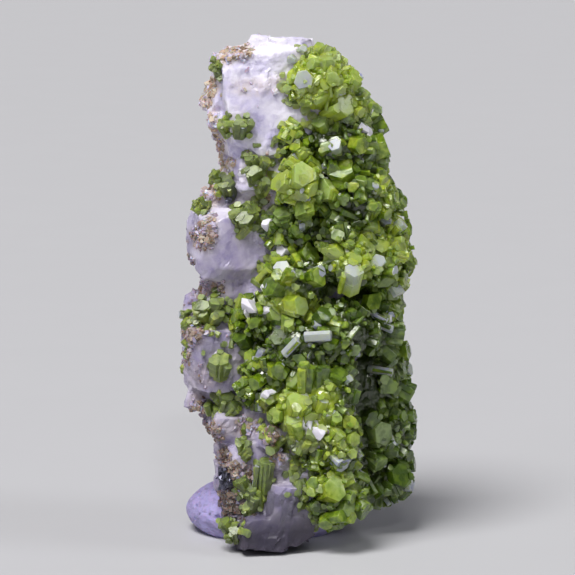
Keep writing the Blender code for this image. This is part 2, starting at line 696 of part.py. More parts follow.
def make_crust(rock, rock_room):
    """Make the one crust of crystals over the front and right side."""
    chosen = named_crystals()
    sites = chosen + without_crowding(crust_sites(rock), chosen)
    forms = [lobe_form(lobe, number) for number, lobe in enumerate(LOBES)]
    forms += [prism_form(*site) for site in sites]
    crust = combine(forms[0], forms[1:], "UNION")
    crust = largest_body(combine(crust, [rock_room], "DIFFERENCE"))
    crust = largest_body(simplified(crust, CRUST_DETAIL))
    return add_object("pyromorphite_crust", crust, "pyromorphite")


def bed_form(crystals):
    """Give the low mound that a cluster's crystals share."""
    centre = sum((crystal[5] for crystal in crystals), Vector()) / len(crystals)
    facing = sum((crystal[6] for crystal in crystals), Vector()).normalized()
    spread = max((crystal[5] - centre).length for crystal in crystals)
    reach = spread + BED_MARGIN * max(crystal[2] for crystal in crystals)
    bm = bmesh.new()
    bmesh.ops.create_icosphere(bm, subdivisions=1, radius=1.0)
    bmesh.ops.scale(bm, vec=(reach, reach, reach * BED_THICKNESS), verts=bm.verts)
    upright = Vector((0.0, 0.0, 1.0)).rotation_difference(facing).to_matrix()
    bmesh.ops.rotate(bm, cent=(0, 0, 0), matrix=upright, verts=bm.verts)
    bmesh.ops.translate(bm, vec=centre + facing * GAP, verts=bm.verts)
    return new_mesh(bm)


def make_cluster(name, crystals, rock_room):
    """Make one separate cluster from its crystals' caps, axes, sizes and roots."""
    forms = [bed_form(crystals)] if len(crystals) > 1 else []
    for number, crystal in enumerate(crystals):
        cap, axis, width, length = crystal[:4]
        forms.append(prism_form(cap, axis, width, length, number * 0.5))
    cluster = combine(forms[0], forms[1:], "UNION") if len(forms) > 1 else forms[0]
    cluster = largest_body(combine(cluster, [rock_room], "DIFFERENCE"))
    cluster = largest_body(simplified(cluster, CLUSTER_DETAIL))
    return add_object(name, cluster, "pyromorphite")


def front_cluster(crystals, rock):
    """Root a front cluster's crystals where the view meets the rock."""
    found = []
    for crystal in crystals:
        start = view_point(crystal.px, crystal.py) - view_direction() * LOOK_START
        place, facing, _, _ = rock.ray_cast(start, view_direction())
        if place is None:
            place, facing, _, _ = rock.find_nearest(at_depth(crystal.px, crystal.py, 0.0))
        axis = leaning(crystal.lean, crystal.toward)
        cap = place + (axis + facing) * 0.5 * (crystal.proud + GAP)
        found.append((cap, axis, crystal.width, crystal.length, crystal.proud, place, facing))
    return found


def back_cluster(places, rock):
    """Root a back cluster's crystals where a look from behind meets the rock."""
    found = []
    for number, (x, z) in enumerate(places):
        place, facing, _, _ = rock.ray_cast(Vector((x, BACK_LOOK_START, z)), Vector((0.0, -1.0, 0.0)))
        angle = number * BACK_SWING_STEP
        swing = Vector((math.cos(angle), 0.0, math.sin(angle))) * BACK_SWING
        axis = (facing + swing).normalized()
        cap = place + axis * (BACK_CRYSTAL_PROUD + GAP)
        size = (BACK_CRYSTAL_WIDTH, BACK_CRYSTAL_LENGTH, BACK_CRYSTAL_PROUD)
        found.append((cap, axis, *size, place, facing))
    return found


def make_ore(rock, rock_room):
    """Make the small group of dark cubes."""
    forms = []
    for number, (px, py) in enumerate(ORE_PLACES):
        start = view_point(px, py) - view_direction() * LOOK_START
        place, facing, _, _ = rock.ray_cast(start, view_direction())
        bm = bmesh.new()
        bmesh.ops.create_cube(bm, size=ORE_WIDTH)
        turn = Euler((0.5 + number, 0.3 * number, 0.8 * number)).to_matrix()
        bmesh.ops.rotate(bm, cent=(0, 0, 0), matrix=turn, verts=bm.verts)
        bmesh.ops.translate(bm, vec=place + facing * ORE_PROUD, verts=bm.verts)
        forms.append(new_mesh(bm))
    ore = combine(forms[0], forms[1:], "UNION")
    ore = largest_body(combine(ore, [rock_room], "DIFFERENCE"))
    return add_object("dark_ore_cubes", ore, "lead ore")


def make_putty(room):
    """Make the lump of putty, pressed flat below and moulded round the rock."""
    draws = random.Random(PUTTY_SEED)
    bm = bmesh.new()
    bmesh.ops.create_icosphere(bm, subdivisions=3, radius=1.0)
    half = Vector((PUTTY_WIDE / 2, PUTTY_DEEP / 2, PUTTY_TALL - PUTTY_BELOW))
    bmesh.ops.scale(bm, vec=half, verts=bm.verts)
    for vert in bm.verts:
        vert.co += vert.normal * draws.uniform(-PUTTY_ROUGHNESS, PUTTY_ROUGHNESS)
    bmesh.ops.translate(bm, vec=(PUTTY_CENTRE[0], PUTTY_CENTRE[1], PUTTY_BELOW), verts=bm.verts)
    slice_off(bm, Vector((0.0, 0.0, 0.0)), Vector((0.0, 0.0, -1.0)))
    putty = largest_body(combine(simplified(new_mesh(bm), PUTTY_DETAIL), room, "DIFFERENCE"))
    return add_object("putty_foot", putty, "putty")


def centre_whole(pieces):
    """Slide all the pieces so that the whole stands on the middle of its base."""
    corners = [Vector(corner) for piece in pieces for corner in piece.bound_box]
    shift = Vector((0.0, 0.0, -min(corner.z for corner in corners)))
    for axis in (0, 1):
        low = min(corner[axis] for corner in corners)
        high = max(corner[axis] for corner in corners)
        shift[axis] = -(low + high) / 2
    for piece in pieces:
        piece.location = shift


def main():
    """Build every piece and set the whole on its own middle."""
    clear_scene()
    forms = rock_forms(0.0)
    solid = combine(forms[0], forms[1:], "UNION")
    pits = [pit_form(pit, number) for number, pit in enumerate(PITS)]
    matrix_mesh = largest_body(simplified(largest_body(combine(solid, pits, "DIFFERENCE")), ROCK_DETAIL))
    matrix_mesh = cut_level(matrix_mesh)
    room_forms = rock_forms(GAP)
    rock_room = combine(room_forms[0], room_forms[1:], "UNION")

    whole = bmesh.new()
    whole.from_mesh(matrix_mesh)
    rock = BVHTree.FromBMesh(whole)
    whole.free()

    pieces = [add_object("quartz_matrix", matrix_mesh, "quartz"), make_putty([rock_room])]
    pieces.append(make_crust(rock, rock_room))
    pieces.append(make_ore(rock, rock_room))
    for name, crystals in CLUSTERS.items():
        pieces.append(make_cluster(name, front_cluster(crystals, rock), rock_room))
    for name, places in BACK_CLUSTERS.items():
        pieces.append(make_cluster(name, back_cluster(places, rock), rock_room))
    centre_whole(pieces)


main()
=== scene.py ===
"""The finish of a pyromorphite specimen that stands in a lump of putty.

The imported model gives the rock, the crust, the clusters and the putty as plain
solids. This script dresses them: the rock's broken surface and stains, some
thousands of hexagonal prisms, the clear quartz at the foot and the putty's
skin. It is laid out as an add-on, and is run as a script. Tables and working
meshes are in millimetres over the middle of the specimen's own table, with x
to the right, y away from the viewer and z up. Finished pieces are in metres.
"""

import math
import random
from collections import namedtuple

import bmesh
import bpy
import numpy as np
from bpy.props import FloatProperty, FloatVectorProperty, PointerProperty
from mathutils import Euler, Matrix, Vector, noise
from mathutils.bvhtree import BVHTree


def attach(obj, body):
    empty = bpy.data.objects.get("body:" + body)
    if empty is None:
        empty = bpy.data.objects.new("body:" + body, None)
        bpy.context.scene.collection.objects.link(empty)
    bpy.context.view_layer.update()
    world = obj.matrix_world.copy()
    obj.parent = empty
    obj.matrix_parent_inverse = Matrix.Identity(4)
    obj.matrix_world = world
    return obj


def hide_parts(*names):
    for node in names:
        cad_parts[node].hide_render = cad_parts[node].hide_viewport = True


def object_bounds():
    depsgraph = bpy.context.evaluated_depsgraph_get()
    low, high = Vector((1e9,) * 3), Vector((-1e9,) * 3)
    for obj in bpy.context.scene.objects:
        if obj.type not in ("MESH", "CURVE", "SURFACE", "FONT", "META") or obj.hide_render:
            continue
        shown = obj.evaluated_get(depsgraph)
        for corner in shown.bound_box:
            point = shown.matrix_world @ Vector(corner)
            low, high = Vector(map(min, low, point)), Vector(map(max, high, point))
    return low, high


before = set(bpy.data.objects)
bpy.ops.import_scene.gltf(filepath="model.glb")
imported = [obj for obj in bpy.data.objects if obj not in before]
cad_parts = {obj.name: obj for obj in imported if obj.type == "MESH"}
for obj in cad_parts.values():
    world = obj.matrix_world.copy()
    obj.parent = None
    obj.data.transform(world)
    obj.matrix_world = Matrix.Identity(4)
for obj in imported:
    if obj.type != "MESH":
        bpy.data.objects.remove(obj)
CAD_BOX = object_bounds()

bl_info = {
    "name": "Pyromorphite specimen",
    "version": (1, 0, 0),
    "blender": (4, 5, 0),
    "location": "View3D > Sidebar > Specimen",
    "description": "Dresses the plain solids of a pyromorphite specimen with rock, crystals and putty",
    "category": "Add Mesh",
}

MM = 0.001

# Where the middle of the whole lies in the tables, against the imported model.
SHIFT = Vector((0.252, -0.944, 0.002))

# The front view that the places were read from: pixels to a millimetre, the
# pixel above x = 0 at the foot, the rise of the view and the nearest depth.
PIXELS_PER_MM = 8.0
VIEW_FOOT_X = 302.0
VIEW_FOOT_Y = 558.0
VIEW_RISE = math.radians(8.0)
NEAREST_DEPTH = -12.0
VIEW_MIDDLE = 287.5

GAP = 0.5
TINY = 0.002

# Crust crystals: usual width, how far their caps stand out, how deep they root.
CRYSTAL_SPACING = 3.85
CRYSTAL_WIDTH = (2.6, 3.6)
CRYSTAL_PROUD = (0.7, 1.5)
CRYSTAL_ROOT = 2.6
CRYSTAL_TILT = math.radians(34.0)
CRYSTAL_SCATTER = 0.22
CRYSTAL_SEED = 7
PRISM_SIDES = 6

# A crystal grows only where its place is this free of the swellings (1 is on
# their skin), this far from the rock and open this far ahead.
FREE_OF_LOBES = 0.97
FREE_OF_ROCK = 0.6
FREE_AHEAD = 4.0
CROWDED = 0.42

# How wide the crust's broad crystals are dressed, against those of the solids.
BROAD_SHARE = (0.62, 1.0)

# The crust's swellings. px and py place each centre in the front view.
Lobe = namedtuple("Lobe", "px py depth wide deep tall")
LOBES = (
    Lobe(318, 82, -3.6, 8.8, 9.0, 7.4),
    Lobe(341, 112, -1.0, 6.0, 9.6, 9.0),
    Lobe(334, 146, -2.8, 9.0, 8.0, 8.2),
    Lobe(301, 186, -6.8, 5.0, 6.4, 6.4),
    Lobe(294, 142, -4.4, 4.6, 5.4, 5.2),
    Lobe(360, 164, 0.4, 6.0, 9.0, 8.0),
    Lobe(350, 196, -3.8, 9.4, 8.0, 8.4),
    Lobe(373, 206, 1.2, 5.0, 9.6, 8.8),
    Lobe(291, 230, -5.0, 7.0, 5.6, 5.0),
    Lobe(338, 238, -4.2, 8.0, 7.2, 6.4),
    Lobe(382, 256, -0.2, 6.8, 10.4, 10.4),
    Lobe(297, 282, -6.6, 8.4, 6.8, 7.6),
    Lobe(350, 270, -6.4, 6.6, 6.2, 5.6),
    Lobe(262, 318, -5.6, 6.8, 5.6, 7.0),
    Lobe(376, 324, 1.0, 6.0, 10.8, 8.4),
    Lobe(336, 332, -6.6, 9.4, 7.8, 7.4),
    Lobe(300, 350, -7.6, 8.4, 6.8, 8.0),
    Lobe(265, 377, -6.8, 5.8, 5.8, 7.2),
    Lobe(318, 396, -7.8, 9.4, 7.6, 8.4),
    Lobe(362, 392, -0.2, 6.0, 7.6, 13.0),
    Lobe(362, 448, 0.2, 6.0, 8.0, 8.0),
    Lobe(352, 300, -2.8, 7.0, 6.0, 6.0),
    Lobe(384, 376, 2.6, 6.0, 10.0, 9.0),
    Lobe(328, 440, -7.8, 8.6, 8.2, 9.6),
    Lobe(298, 406, -8.4, 6.2, 6.2, 5.4),
    Lobe(388, 430, 3.4, 6.6, 10.0, 9.4),
    Lobe(332, 492, -7.6, 8.4, 8.2, 8.4),
    Lobe(386, 482, 3.2, 6.4, 8.8, 6.2),
    Lobe(358, 140, 7.0, 6.2, 7.4, 11.0),
    Lobe(382, 232, 8.6, 6.6, 7.6, 13.0),
    Lobe(376, 318, 9.6, 6.2, 7.4, 12.0),
    Lobe(380, 404, 9.6, 6.4, 7.0, 12.0),
)

# Single crystals, listed one by one: cap centre in the front view, the
# cap's lean to the right of straight up, how far it turns to the viewer, the
# width across, the length and how far the cap stands out from the crust.
Crystal = namedtuple("Crystal", "px py lean toward width length proud")
CRUST_CRYSTALS = (
    Crystal(302, 306, 84, 42, 3.0, 4.2, 1.3),
    Crystal(331, 335, 84, 18, 1.5, 3.4, 1.5),
    Crystal(326, 314, 40, 48, 2.6, 3.8, 1.2),
    Crystal(262, 349, 24, 10, 1.5, 3.6, 1.4),
    Crystal(307, 366, 5, 18, 2.0, 4.8, 1.2),
    Crystal(322, 366, 4, 14, 2.2, 4.8, 1.1),
    Crystal(340, 374, 30, 36, 3.0, 4.0, 1.2),
    Crystal(394, 331, 112, 14, 1.3, 3.6, 1.8),
    Crystal(394, 374, 98, 12, 1.1, 3.2, 1.6),
    Crystal(346, 106, 60, 46, 3.6, 4.2, 1.0),
    Crystal(356, 76, 44, 24, 2.6, 3.8, 1.3),
    Crystal(303, 174, 30, 56, 3.2, 4.0, 1.3),
    Crystal(314, 190, 96, 34, 2.2, 3.6, 1.2),
    Crystal(310, 254, 60, 42, 3.1, 4.2, 1.1),
    Crystal(282, 268, -20, 46, 2.6, 3.8, 1.1),
    Crystal(320, 277, 70, 44, 2.6, 3.8, 1.1),
    Crystal(354, 270, 10, 40, 2.8, 4.0, 1.2),
    Crystal(378, 261, 30, 52, 2.6, 4.0, 1.3),
    Crystal(404, 246, 76, 24, 2.4, 4.2, 1.2),
    Crystal(408, 231, 70, 20, 2.6, 4.0, 1.2),
    Crystal(334, 145, -20, 58, 1.6, 3.0, 1.1),
    Crystal(412, 352, 80, 16, 2.6, 4.0, 1.0),
    Crystal(300, 400, 14, 44, 3.0, 4.2, 1.3),
    Crystal(344, 466, 130, 40, 2.2, 4.4, 1.2),
    Crystal(350, 508, 70, 40, 3.0, 4.2, 1.0),
    Crystal(336, 488, 50, 56, 3.2, 4.0, 1.1),
    Crystal(416, 434, 66, 18, 2.8, 4.0, 1.1),
    Crystal(416, 489, 84, 20, 2.4, 4.4, 1.1),
    Crystal(384, 503, 150, 24, 2.2, 4.0, 1.0),
    Crystal(268, 396, 20, 60, 2.4, 3.8, 1.1),
    Crystal(240, 334, -30, 40, 2.4, 3.8, 1.0),
    Crystal(293, 418, -14, 36, 2.2, 4.4, 1.2),
    Crystal(396, 271, 80, 40, 1.5, 3.0, 1.6),
    Crystal(298, 339, 40, 20, 1.1, 2.8, 1.5),
    Crystal(388, 322, 116, 10, 1.0, 2.8, 1.9),
    Crystal(303, 362, -12, 24, 1.4, 3.2, 1.3),
    Crystal(290, 272, 30, 40, 1.6, 3.0, 1.4),
)

# Which of them have white frosted ends, and which are white all along, by
# their place in the table. The white is a painted highlight in place of glints.
PAINTED_GLINT_ENDS = (1, 3, 7, 8, 17, 19, 20, 23, 27, 32, 33, 34)
PAINTED_GLINT_ALONG = (1, 3, 7, 8, 33, 34)

# Clusters on the bare rock. Their crystals sit where the view meets the rock.
CLUSTERS = {
    "crystals_top_edge": (
        Crystal(217, 67, -50, 20, 1.2, 1.8, 0.5),
        Crystal(221, 71, -20, 30, 1.0, 1.6, 0.4),
    ),
    "cluster_upper_left": (
        Crystal(228, 127, -30, 40, 1.5, 2.4, 0.9),
        Crystal(238, 127, 4, 38, 1.8, 2.6, 1.1),
        Crystal(248, 126, 34, 36, 1.6, 2.4, 0.9),
    ),
    "cluster_waist": (
        Crystal(252, 161, -20, 36, 1.7, 2.6, 1.0),
        Crystal(262, 164, 30, 30, 1.6, 2.4, 0.9),
        Crystal(256, 174, -10, 50, 2.0, 2.8, 1.1),
        Crystal(263, 184, 24, 44, 1.6, 2.4, 0.9),
    ),
    "cluster_left_edge": (
        Crystal(218, 178, -40, 24, 1.6, 2.4, 0.7),
        Crystal(227, 184, -10, 40, 1.9, 2.6, 0.9),
    ),
    "cluster_shoulder": (
        Crystal(235, 214, -34, 36, 1.8, 2.6, 1.0),
        Crystal(243, 219, 0, 60, 2.1, 2.8, 1.2),
        Crystal(250, 212, 34, 36, 1.7, 2.6, 1.0),
        Crystal(245, 228, 40, 30, 1.6, 2.4, 0.9),
    ),
    "crystals_ledge": (
        Crystal(199, 206, -34, 20, 1.1, 1.8, 0.5),
        Crystal(205, 209, 10, 34, 1.1, 1.8, 0.5),
    ),
    "cluster_middle_left": (
        Crystal(205, 308, -24, 44, 2.3, 3.0, 1.2),
        Crystal(217, 304, 10, 36, 2.0, 2.8, 1.1),
        Crystal(219, 315, 24, 46, 2.1, 3.0, 1.1),
    ),
    "crystals_lower_edge": (
        Crystal(189, 322, -50, 22, 1.7, 2.4, 0.7),
        Crystal(195, 327, -20, 40, 1.5, 2.2, 0.7),
    ),
    "stubby_prism": (
        Crystal(219, 361, 4, 40, 2.7, 3.4, 1.4),
    ),
    "cluster_fork": (
        Crystal(217, 405, -36, 32, 1.8, 3.2, 1.3),
        Crystal(229, 400, 8, 40, 2.2, 3.0, 1.2),
        Crystal(237, 409, 40, 34, 1.8, 3.0, 1.2),
    ),
    "crystals_nodule": (
        Crystal(245, 446, -8, 40, 1.6, 2.4, 0.9),
        Crystal(249, 452, 40, 34, 1.3, 2.2, 0.7),
    ),
    "long_prism": (
        Crystal(268, 471, 4, 14, 2.1, 4.4, 1.6),
        Crystal(260, 473, 8, 12, 1.0, 3.6, 1.7),
    ),
    "prism_fan": (
        Crystal(243, 492, -34, 20, 1.6, 4.2, 1.2),
        Crystal(251, 494, -10, 24, 1.8, 4.4, 1.4),
        Crystal(258, 503, 16, 26, 1.7, 4.0, 1.2),
        Crystal(250, 512, -20, 40, 1.6, 3.2, 1.0),
    ),
    "cluster_toe": (
        Crystal(227, 526, -40, 26, 1.7, 2.6, 0.8),
        Crystal(233, 533, -8, 44, 1.6, 2.4, 0.8),
    ),
}

# How wide their crystals are dressed, how much duller, and how many small
# ones stand round the foot of each.
CLUSTER_SHARE = 0.9
CLUSTER_DIM = 0.08
FOOT_CRYSTALS = 5

# Clusters on the hidden back, placed by x and z and seen from behind.
BACK_CLUSTERS = {
    "back_cluster_top": ((-4.5, 55.0), (-2.6, 54.2), (-3.8, 52.6)),
    "back_cluster_shoulder": ((1.5, 41.5), (3.5, 40.2), (1.8, 39.0)),
    "back_cluster_middle": ((-7.5, 33.5), (-5.6, 32.2), (-7.0, 31.2)),
    "back_cluster_low": ((-1.5, 22.5), (0.4, 21.2), (-1.2, 20.2)),
    "back_cluster_foot": ((1.5, 11.5), (3.2, 10.4)),
}
BACK_CRYSTAL_WIDTH = 1.9
BACK_CRYSTAL_LENGTH = 2.8
BACK_CRYSTAL_PROUD = 1.1

# Dark cubes of a lead ore at the rock's lower left edge, and one at its shoulder.
ORE_PLACES = ((225, 474), (230, 477), (226, 481), (231, 485), (227, 488), (230, 200))
ORE_WIDTH = 0.8

# The putty lump: centre, size and height above the table.
PUTTY_CENTRE = (-4.6, 5.0)
PUTTY_WIDE = 21.0
PUTTY_DEEP = 19.0
PUTTY_TALL = 7.2
PUTTY_BELOW = 2.6

# Patches of the rock in the front view: middle, half sizes and strength.
Patch = namedtuple("Patch", "px py across up strength")
TAN_PATCHES = (
    Patch(238, 51, 15, 10, 1.0),
    Patch(225, 60, 10, 7, 0.8),
    Patch(209, 84, 9, 12, 1.0),
    Patch(203, 99, 8, 8, 0.8),
    Patch(252, 88, 22, 9, 0.4),
    Patch(279, 84, 12, 9, 0.4),
    Patch(214, 122, 6, 16, 0.6),
    Patch(216, 147, 8, 18, 0.8),
    Patch(224, 164, 12, 7, 0.8),
    Patch(211, 192, 12, 14, 0.7),
    Patch(203, 236, 13, 14, 1.0),
    Patch(210, 222, 8, 10, 0.7),
    Patch(264, 184, 8, 24, 0.8),
    Patch(256, 204, 12, 10, 0.6),
    Patch(188, 263, 6, 8, 0.6),
    Patch(206, 290, 20, 10, 0.7),
    Patch(192, 332, 12, 16, 1.0),
    Patch(184, 360, 8, 12, 0.6),
    Patch(204, 376, 16, 14, 0.4),
    Patch(197, 408, 10, 14, 0.7),
    Patch(212, 434, 14, 12, 0.8),
    Patch(246, 428, 16, 12, 0.6),
    Patch(272, 437, 9, 10, 1.0),
    Patch(279, 459, 9, 8, 0.9),
    Patch(238, 478, 18, 14, 1.0),
    Patch(231, 502, 14, 18, 1.0),
    Patch(222, 462, 8, 14, 0.8),
    Patch(232, 524, 14, 10, 0.5),
)
# Whitest quartz; the wide patch at the top is partly painted light on the rock's lit top.
WHITE_PATCHES = (
    Patch(262, 46, 40, 16, 1.0),
    Patch(246, 82, 30, 24, 0.55),
    Patch(283, 70, 18, 16, 0.8),
    Patch(283, 251, 12, 10, 0.8),
    Patch(307, 430, 20, 16, 1.0),
    Patch(196, 252, 10, 8, 0.6),
    Patch(202, 206, 12, 14, 0.6),
    Patch(246, 340, 10, 14, 0.6),
    Patch(366, 106, 10, 12, 0.6),
    Patch(402, 322, 10, 10, 0.6),
)
SMOOTH_PATCHES = (
    Patch(250, 110, 34, 30, 0.9),
    Patch(224, 246, 34, 40, 0.9),
    Patch(192, 250, 12, 12, 0.6),
    Patch(200, 352, 14, 14, 0.8),
    Patch(208, 398, 12, 14, 0.9),
    Patch(264, 460, 14, 16, 0.9),
    Patch(282, 508, 30, 30, 0.7),
    Patch(262, 545, 24, 14, 0.3),
)

# Where the crust is brightest and most yellow in the front view: a yellower colour of its own, with painted light on
# its lit masses.
YELLOW_AND_LIT_PATCHES = (
    Patch(312, 78, 46, 46, 1.8),
    Patch(350, 96, 20, 24, 0.6),
    Patch(299, 187, 22, 32, 1.1),
    Patch(364, 256, 38, 24, 0.9),
    Patch(398, 240, 18, 34, 0.7),
    Patch(404, 298, 14, 26, 0.6),
    Patch(292, 304, 22, 16, 0.9),
    Patch(304, 402, 34, 24, 1.2),
    Patch(344, 460, 30, 48, 0.6),
    Patch(390, 190, 18, 24, 0.5),
    Patch(404, 370, 14, 40, 0.3),
)

# Where it is darker without being hollow: painted shade.
PAINTED_SHADE_PATCHES = (
    Patch(290, 226, 26, 18, 0.9),
    Patch(394, 420, 26, 70, 0.5),
    Patch(318, 350, 30, 16, 0.3),
    Patch(346, 176, 30, 24, 0.4),
)

# Where small crystals are scattered over the bare rock, and how thickly.
DRUSE_PATCHES = (
    Patch(230, 306, 28, 12, 1.0),
    Patch(206, 316, 16, 12, 0.9),
    Patch(248, 330, 18, 14, 0.8),
    Patch(226, 334, 12, 8, 0.5),
    Patch(252, 372, 12, 26, 0.7),
    Patch(226, 404, 18, 12, 0.8),
    Patch(256, 396, 16, 16, 0.6),
    Patch(262, 178, 12, 28, 0.5),
    Patch(246, 218, 18, 14, 0.7),
    Patch(268, 232, 14, 14, 0.5),
    Patch(232, 126, 14, 8, 0.4),
    Patch(219, 178, 10, 12, 0.5),
    Patch(262, 430, 20, 10, 0.35),
    Patch(288, 440, 16, 12, 0.5),
    Patch(296, 478, 12, 20, 0.5),
    Patch(250, 498, 14, 18, 0.6),
    Patch(233, 530, 12, 10, 0.5),
    Patch(190, 318, 8, 10, 0.4),
    Patch(182, 360, 6, 20, 0.3),
)
DRUSE_SHARE = 0.5
DRUSE_END = 0.0
DRUSE_TRIES = 16000
BORDER_REACH = 0.35

# Where the crust lies in hollows, its colour darkest with painted shade.
HOLLOW_SHADE_PATCHES = (
    Patch(324, 120, 12, 18, 0.4),
    Patch(311, 138, 8, 14, 0.3),
    Patch(342, 289, 26, 11, 1.3),
    Patch(366, 344, 11, 22, 0.9),
    Patch(366, 392, 11, 34, 1.1),
    Patch(371, 446, 10, 34, 1.0),
    Patch(376, 492, 8, 18, 0.8),
    Patch(352, 214, 14, 10, 0.5),
    Patch(288, 214, 10, 8, 0.4),
)

# How far back those hollows reach, how many crystals they lack and how far
# their floors are sunk.
HOLLOWS_END = 6.0
HOLLOW_SHARE = 1.25
HOLLOW_DEPTH = 0.8

# Chips of white quartz between the crystals: place in the front view and width.
QUARTZ_CHIPS = (
    (283, 249, 1.5),
    (290, 252, 1.1),
    (274, 211, 1.0),
    (268, 223, 1.1),
    (213, 299, 0.8),
    (267, 288, 1.0),
    (249, 307, 1.6),
    (269, 309, 0.8),
    (268, 394, 1.1),
    (369, 107, 1.3),
    (372, 99, 1.0),
    (366, 131, 1.2),
    (361, 126, 0.8),
    (399, 216, 1.1),
    (401, 321, 1.3),
    (388, 317, 0.9),
    (300, 421, 1.3),
    (309, 425, 1.5),
    (318, 432, 1.2),
    (244, 172, 0.7),
    (247, 213, 0.8),
)
CHIP_PROUD = 0.9

# How many times a grain is tried on the rock.
GRAIN_TRIES = 33000

# Facets of clear quartz at the foot: middle in the front view, lean, turn to
# the viewer, width, length and how far each stands out.
CLEAR_FACETS = (
    Crystal(278, 492, 4, 8, 2.8, 4.8, 0.25),
    Crystal(291, 500, 12, 14, 1.8, 3.4, 0.20),
)

# Broken relief of the rock: size of the scoops, how far they tilt and how
# hollow they are.
Relief = namedtuple("Relief", "size tilt hollow")
LARGE_SCOOPS = Relief(3.6, 0.30, 0.16)
SMALL_SCOOPS = Relief(1.3, 0.40, 0.30)
BED_RELIEF = Relief(1.1, 0.5, 0.5)
ROCK_RELIEF_LIMIT = (-0.6, 0.30)

# Part of a unit crystal, in radii below its cap, that keeps its shape when a
# crystal is made longer.
SHOULDER = 0.5

# How far each crystal's own coordinates are moved apart, by its place.
OWN_OFFSET = 3.7

# How uneven a crystal is, in radii: how far its six sides stand from its axis
# and swing round it, how they slope, how the faces of its point slope and how
# far its cap tilts.
SIDE_REACH = (0.66, 1.0)
SIDE_SWING = 0.04
SIDE_SLOPE = (-0.07, 0.04)
POINT_SLOPE = (0.6, 1.6)
CAP_TILT = 0.07


class RockSettings(bpy.types.PropertyGroup):
    """Sizes and colours of the quartz."""

    mesh_step: FloatProperty(
        name="Mesh step",
        description="Smallest form that the surface of the rock can hold",
        default=0.00028,
        unit="LENGTH",
        precision=5,
    )
    grain_size: FloatProperty(
        name="Grain size",
        description="Usual width of the small grains in the tan crust",
        default=0.00048,
        unit="LENGTH",
        precision=5,
    )
    lavender: FloatVectorProperty(
        name="Lavender",
        description="Colour of the milky quartz",
        default=(0.43, 0.39, 0.62),
        subtype="COLOR",
    )
    white: FloatVectorProperty(
        name="White",
        description="Colour of the whitest quartz",
        default=(0.76, 0.73, 0.83),
        subtype="COLOR",
    )
    tan: FloatVectorProperty(
        name="Tan",
        description="Colour of the iron stain in the rough crust",
        default=(0.47, 0.37, 0.27),
        subtype="COLOR",
    )


class CrystalSettings(bpy.types.PropertyGroup):
    """Sizes and colours of the pyromorphite."""

    middle_spacing: FloatProperty(
        name="Middle spacing",
        description="Distance between crystals of middle size",
        default=0.0017,
        unit="LENGTH",
        precision=4,
    )
    small_spacing: FloatProperty(
        name="Small spacing",
        description="Distance between the smallest crystals",
        default=0.00105,
        unit="LENGTH",
        precision=4,
    )
    # The painted light on the crust reaches toward this colour as well.
    bright: FloatVectorProperty(
        name="Bright",
        description="Colour of the freshest crystals",
        default=(0.64, 0.79, 0.075),
        subtype="COLOR",
    )
    middle: FloatVectorProperty(
        name="Middle",
        description="Usual colour of the crystals",
        default=(0.24, 0.38, 0.010),
        subtype="COLOR",
    )
    deep: FloatVectorProperty(
        name="Deep",
        description="Colour of the darkest crystals",
        default=(0.07, 0.14, 0.005),
        subtype="COLOR",
    )
    pale: FloatVectorProperty(
        name="Pale",
        description="Colour of the frosted ends",
        default=(0.50, 0.66, 0.25),
        subtype="COLOR",
    )
    # Painted shade in the gaps between crystals.
    painted_gap_shade: FloatVectorProperty(
        name="Painted gap shade",
        description="Colour of the dark gaps between crystals",
        default=(0.030, 0.045, 0.006),
        subtype="COLOR",
    )


class PuttySettings(bpy.types.PropertyGroup):
    """Sizes and colours of the putty."""

    mesh_step: FloatProperty(
        name="Mesh step",
        description="Smallest form that the surface of the putty can hold",
        default=0.00035,
        unit="LENGTH",
        precision=5,
    )
    colour: FloatVectorProperty(
        name="Colour",
        description="Colour of the putty",
        default=(0.37, 0.325, 0.60),
        subtype="COLOR",
    )


class StageSettings(bpy.types.PropertyGroup):
    """Sizes of the floor, the lights and the camera."""

    floor_radius: FloatProperty(
        name="Floor radius",
        description="Radius of the floor",
        default=3.0,
        unit="LENGTH",
    )
    camera_distance: FloatProperty(
        name="Camera distance",
        description="Distance of the camera from the middle of the view",
        default=0.4,
        unit="LENGTH",
    )
    floor_colour: FloatVectorProperty(
        name="Floor colour",
        description="Colour of the floor",
        default=(0.46, 0.46, 0.48),
        subtype="COLOR",
    )


def view_point(px, py):
    """Give the point of the picture plane that a pixel of the view stands for."""
    across = (px - VIEW_FOOT_X) / PIXELS_PER_MM
    up = (VIEW_FOOT_Y - py) / PIXELS_PER_MM
    return Vector((across, NEAREST_DEPTH + up * math.sin(VIEW_RISE), up * math.cos(VIEW_RISE)))


def view_direction():
    """Give the direction in which the view looks."""
    return Vector((0.0, math.cos(VIEW_RISE), -math.sin(VIEW_RISE)))


def at_depth(px, py, depth):
    """Give the point at one depth that a pixel of the view shows."""
    start = view_point(px, py)
    return start + view_direction() * ((depth - start.y) / math.cos(VIEW_RISE))


def seen_at(places):
    """Give the pixels at which the view shows places, as two arrays."""
    up = places[:, 1] * math.sin(VIEW_RISE) + places[:, 2] * math.cos(VIEW_RISE)
    up = up - NEAREST_DEPTH * math.sin(VIEW_RISE)
    return VIEW_FOOT_X + places[:, 0] * PIXELS_PER_MM, VIEW_FOOT_Y - up * PIXELS_PER_MM


def lobe_centre(lobe):
    """Give the middle of one swelling of the crust."""
    return at_depth(lobe.px, lobe.py, lobe.depth)


def lobe_size(lobe):
    """Give the three half sizes of one swelling."""
    return Vector((lobe.wide, lobe.deep, lobe.tall)) / 2


LOBE_CENTRES = np.array([lobe_centre(lobe) for lobe in LOBES])
LOBE_SIZES = np.array([lobe_size(lobe) for lobe in LOBES])

# Crystals get this much painted shade where two swellings meet, and up to this reach.
MEETING_SHADE = 0.3
MEETING_REACH = 0.3


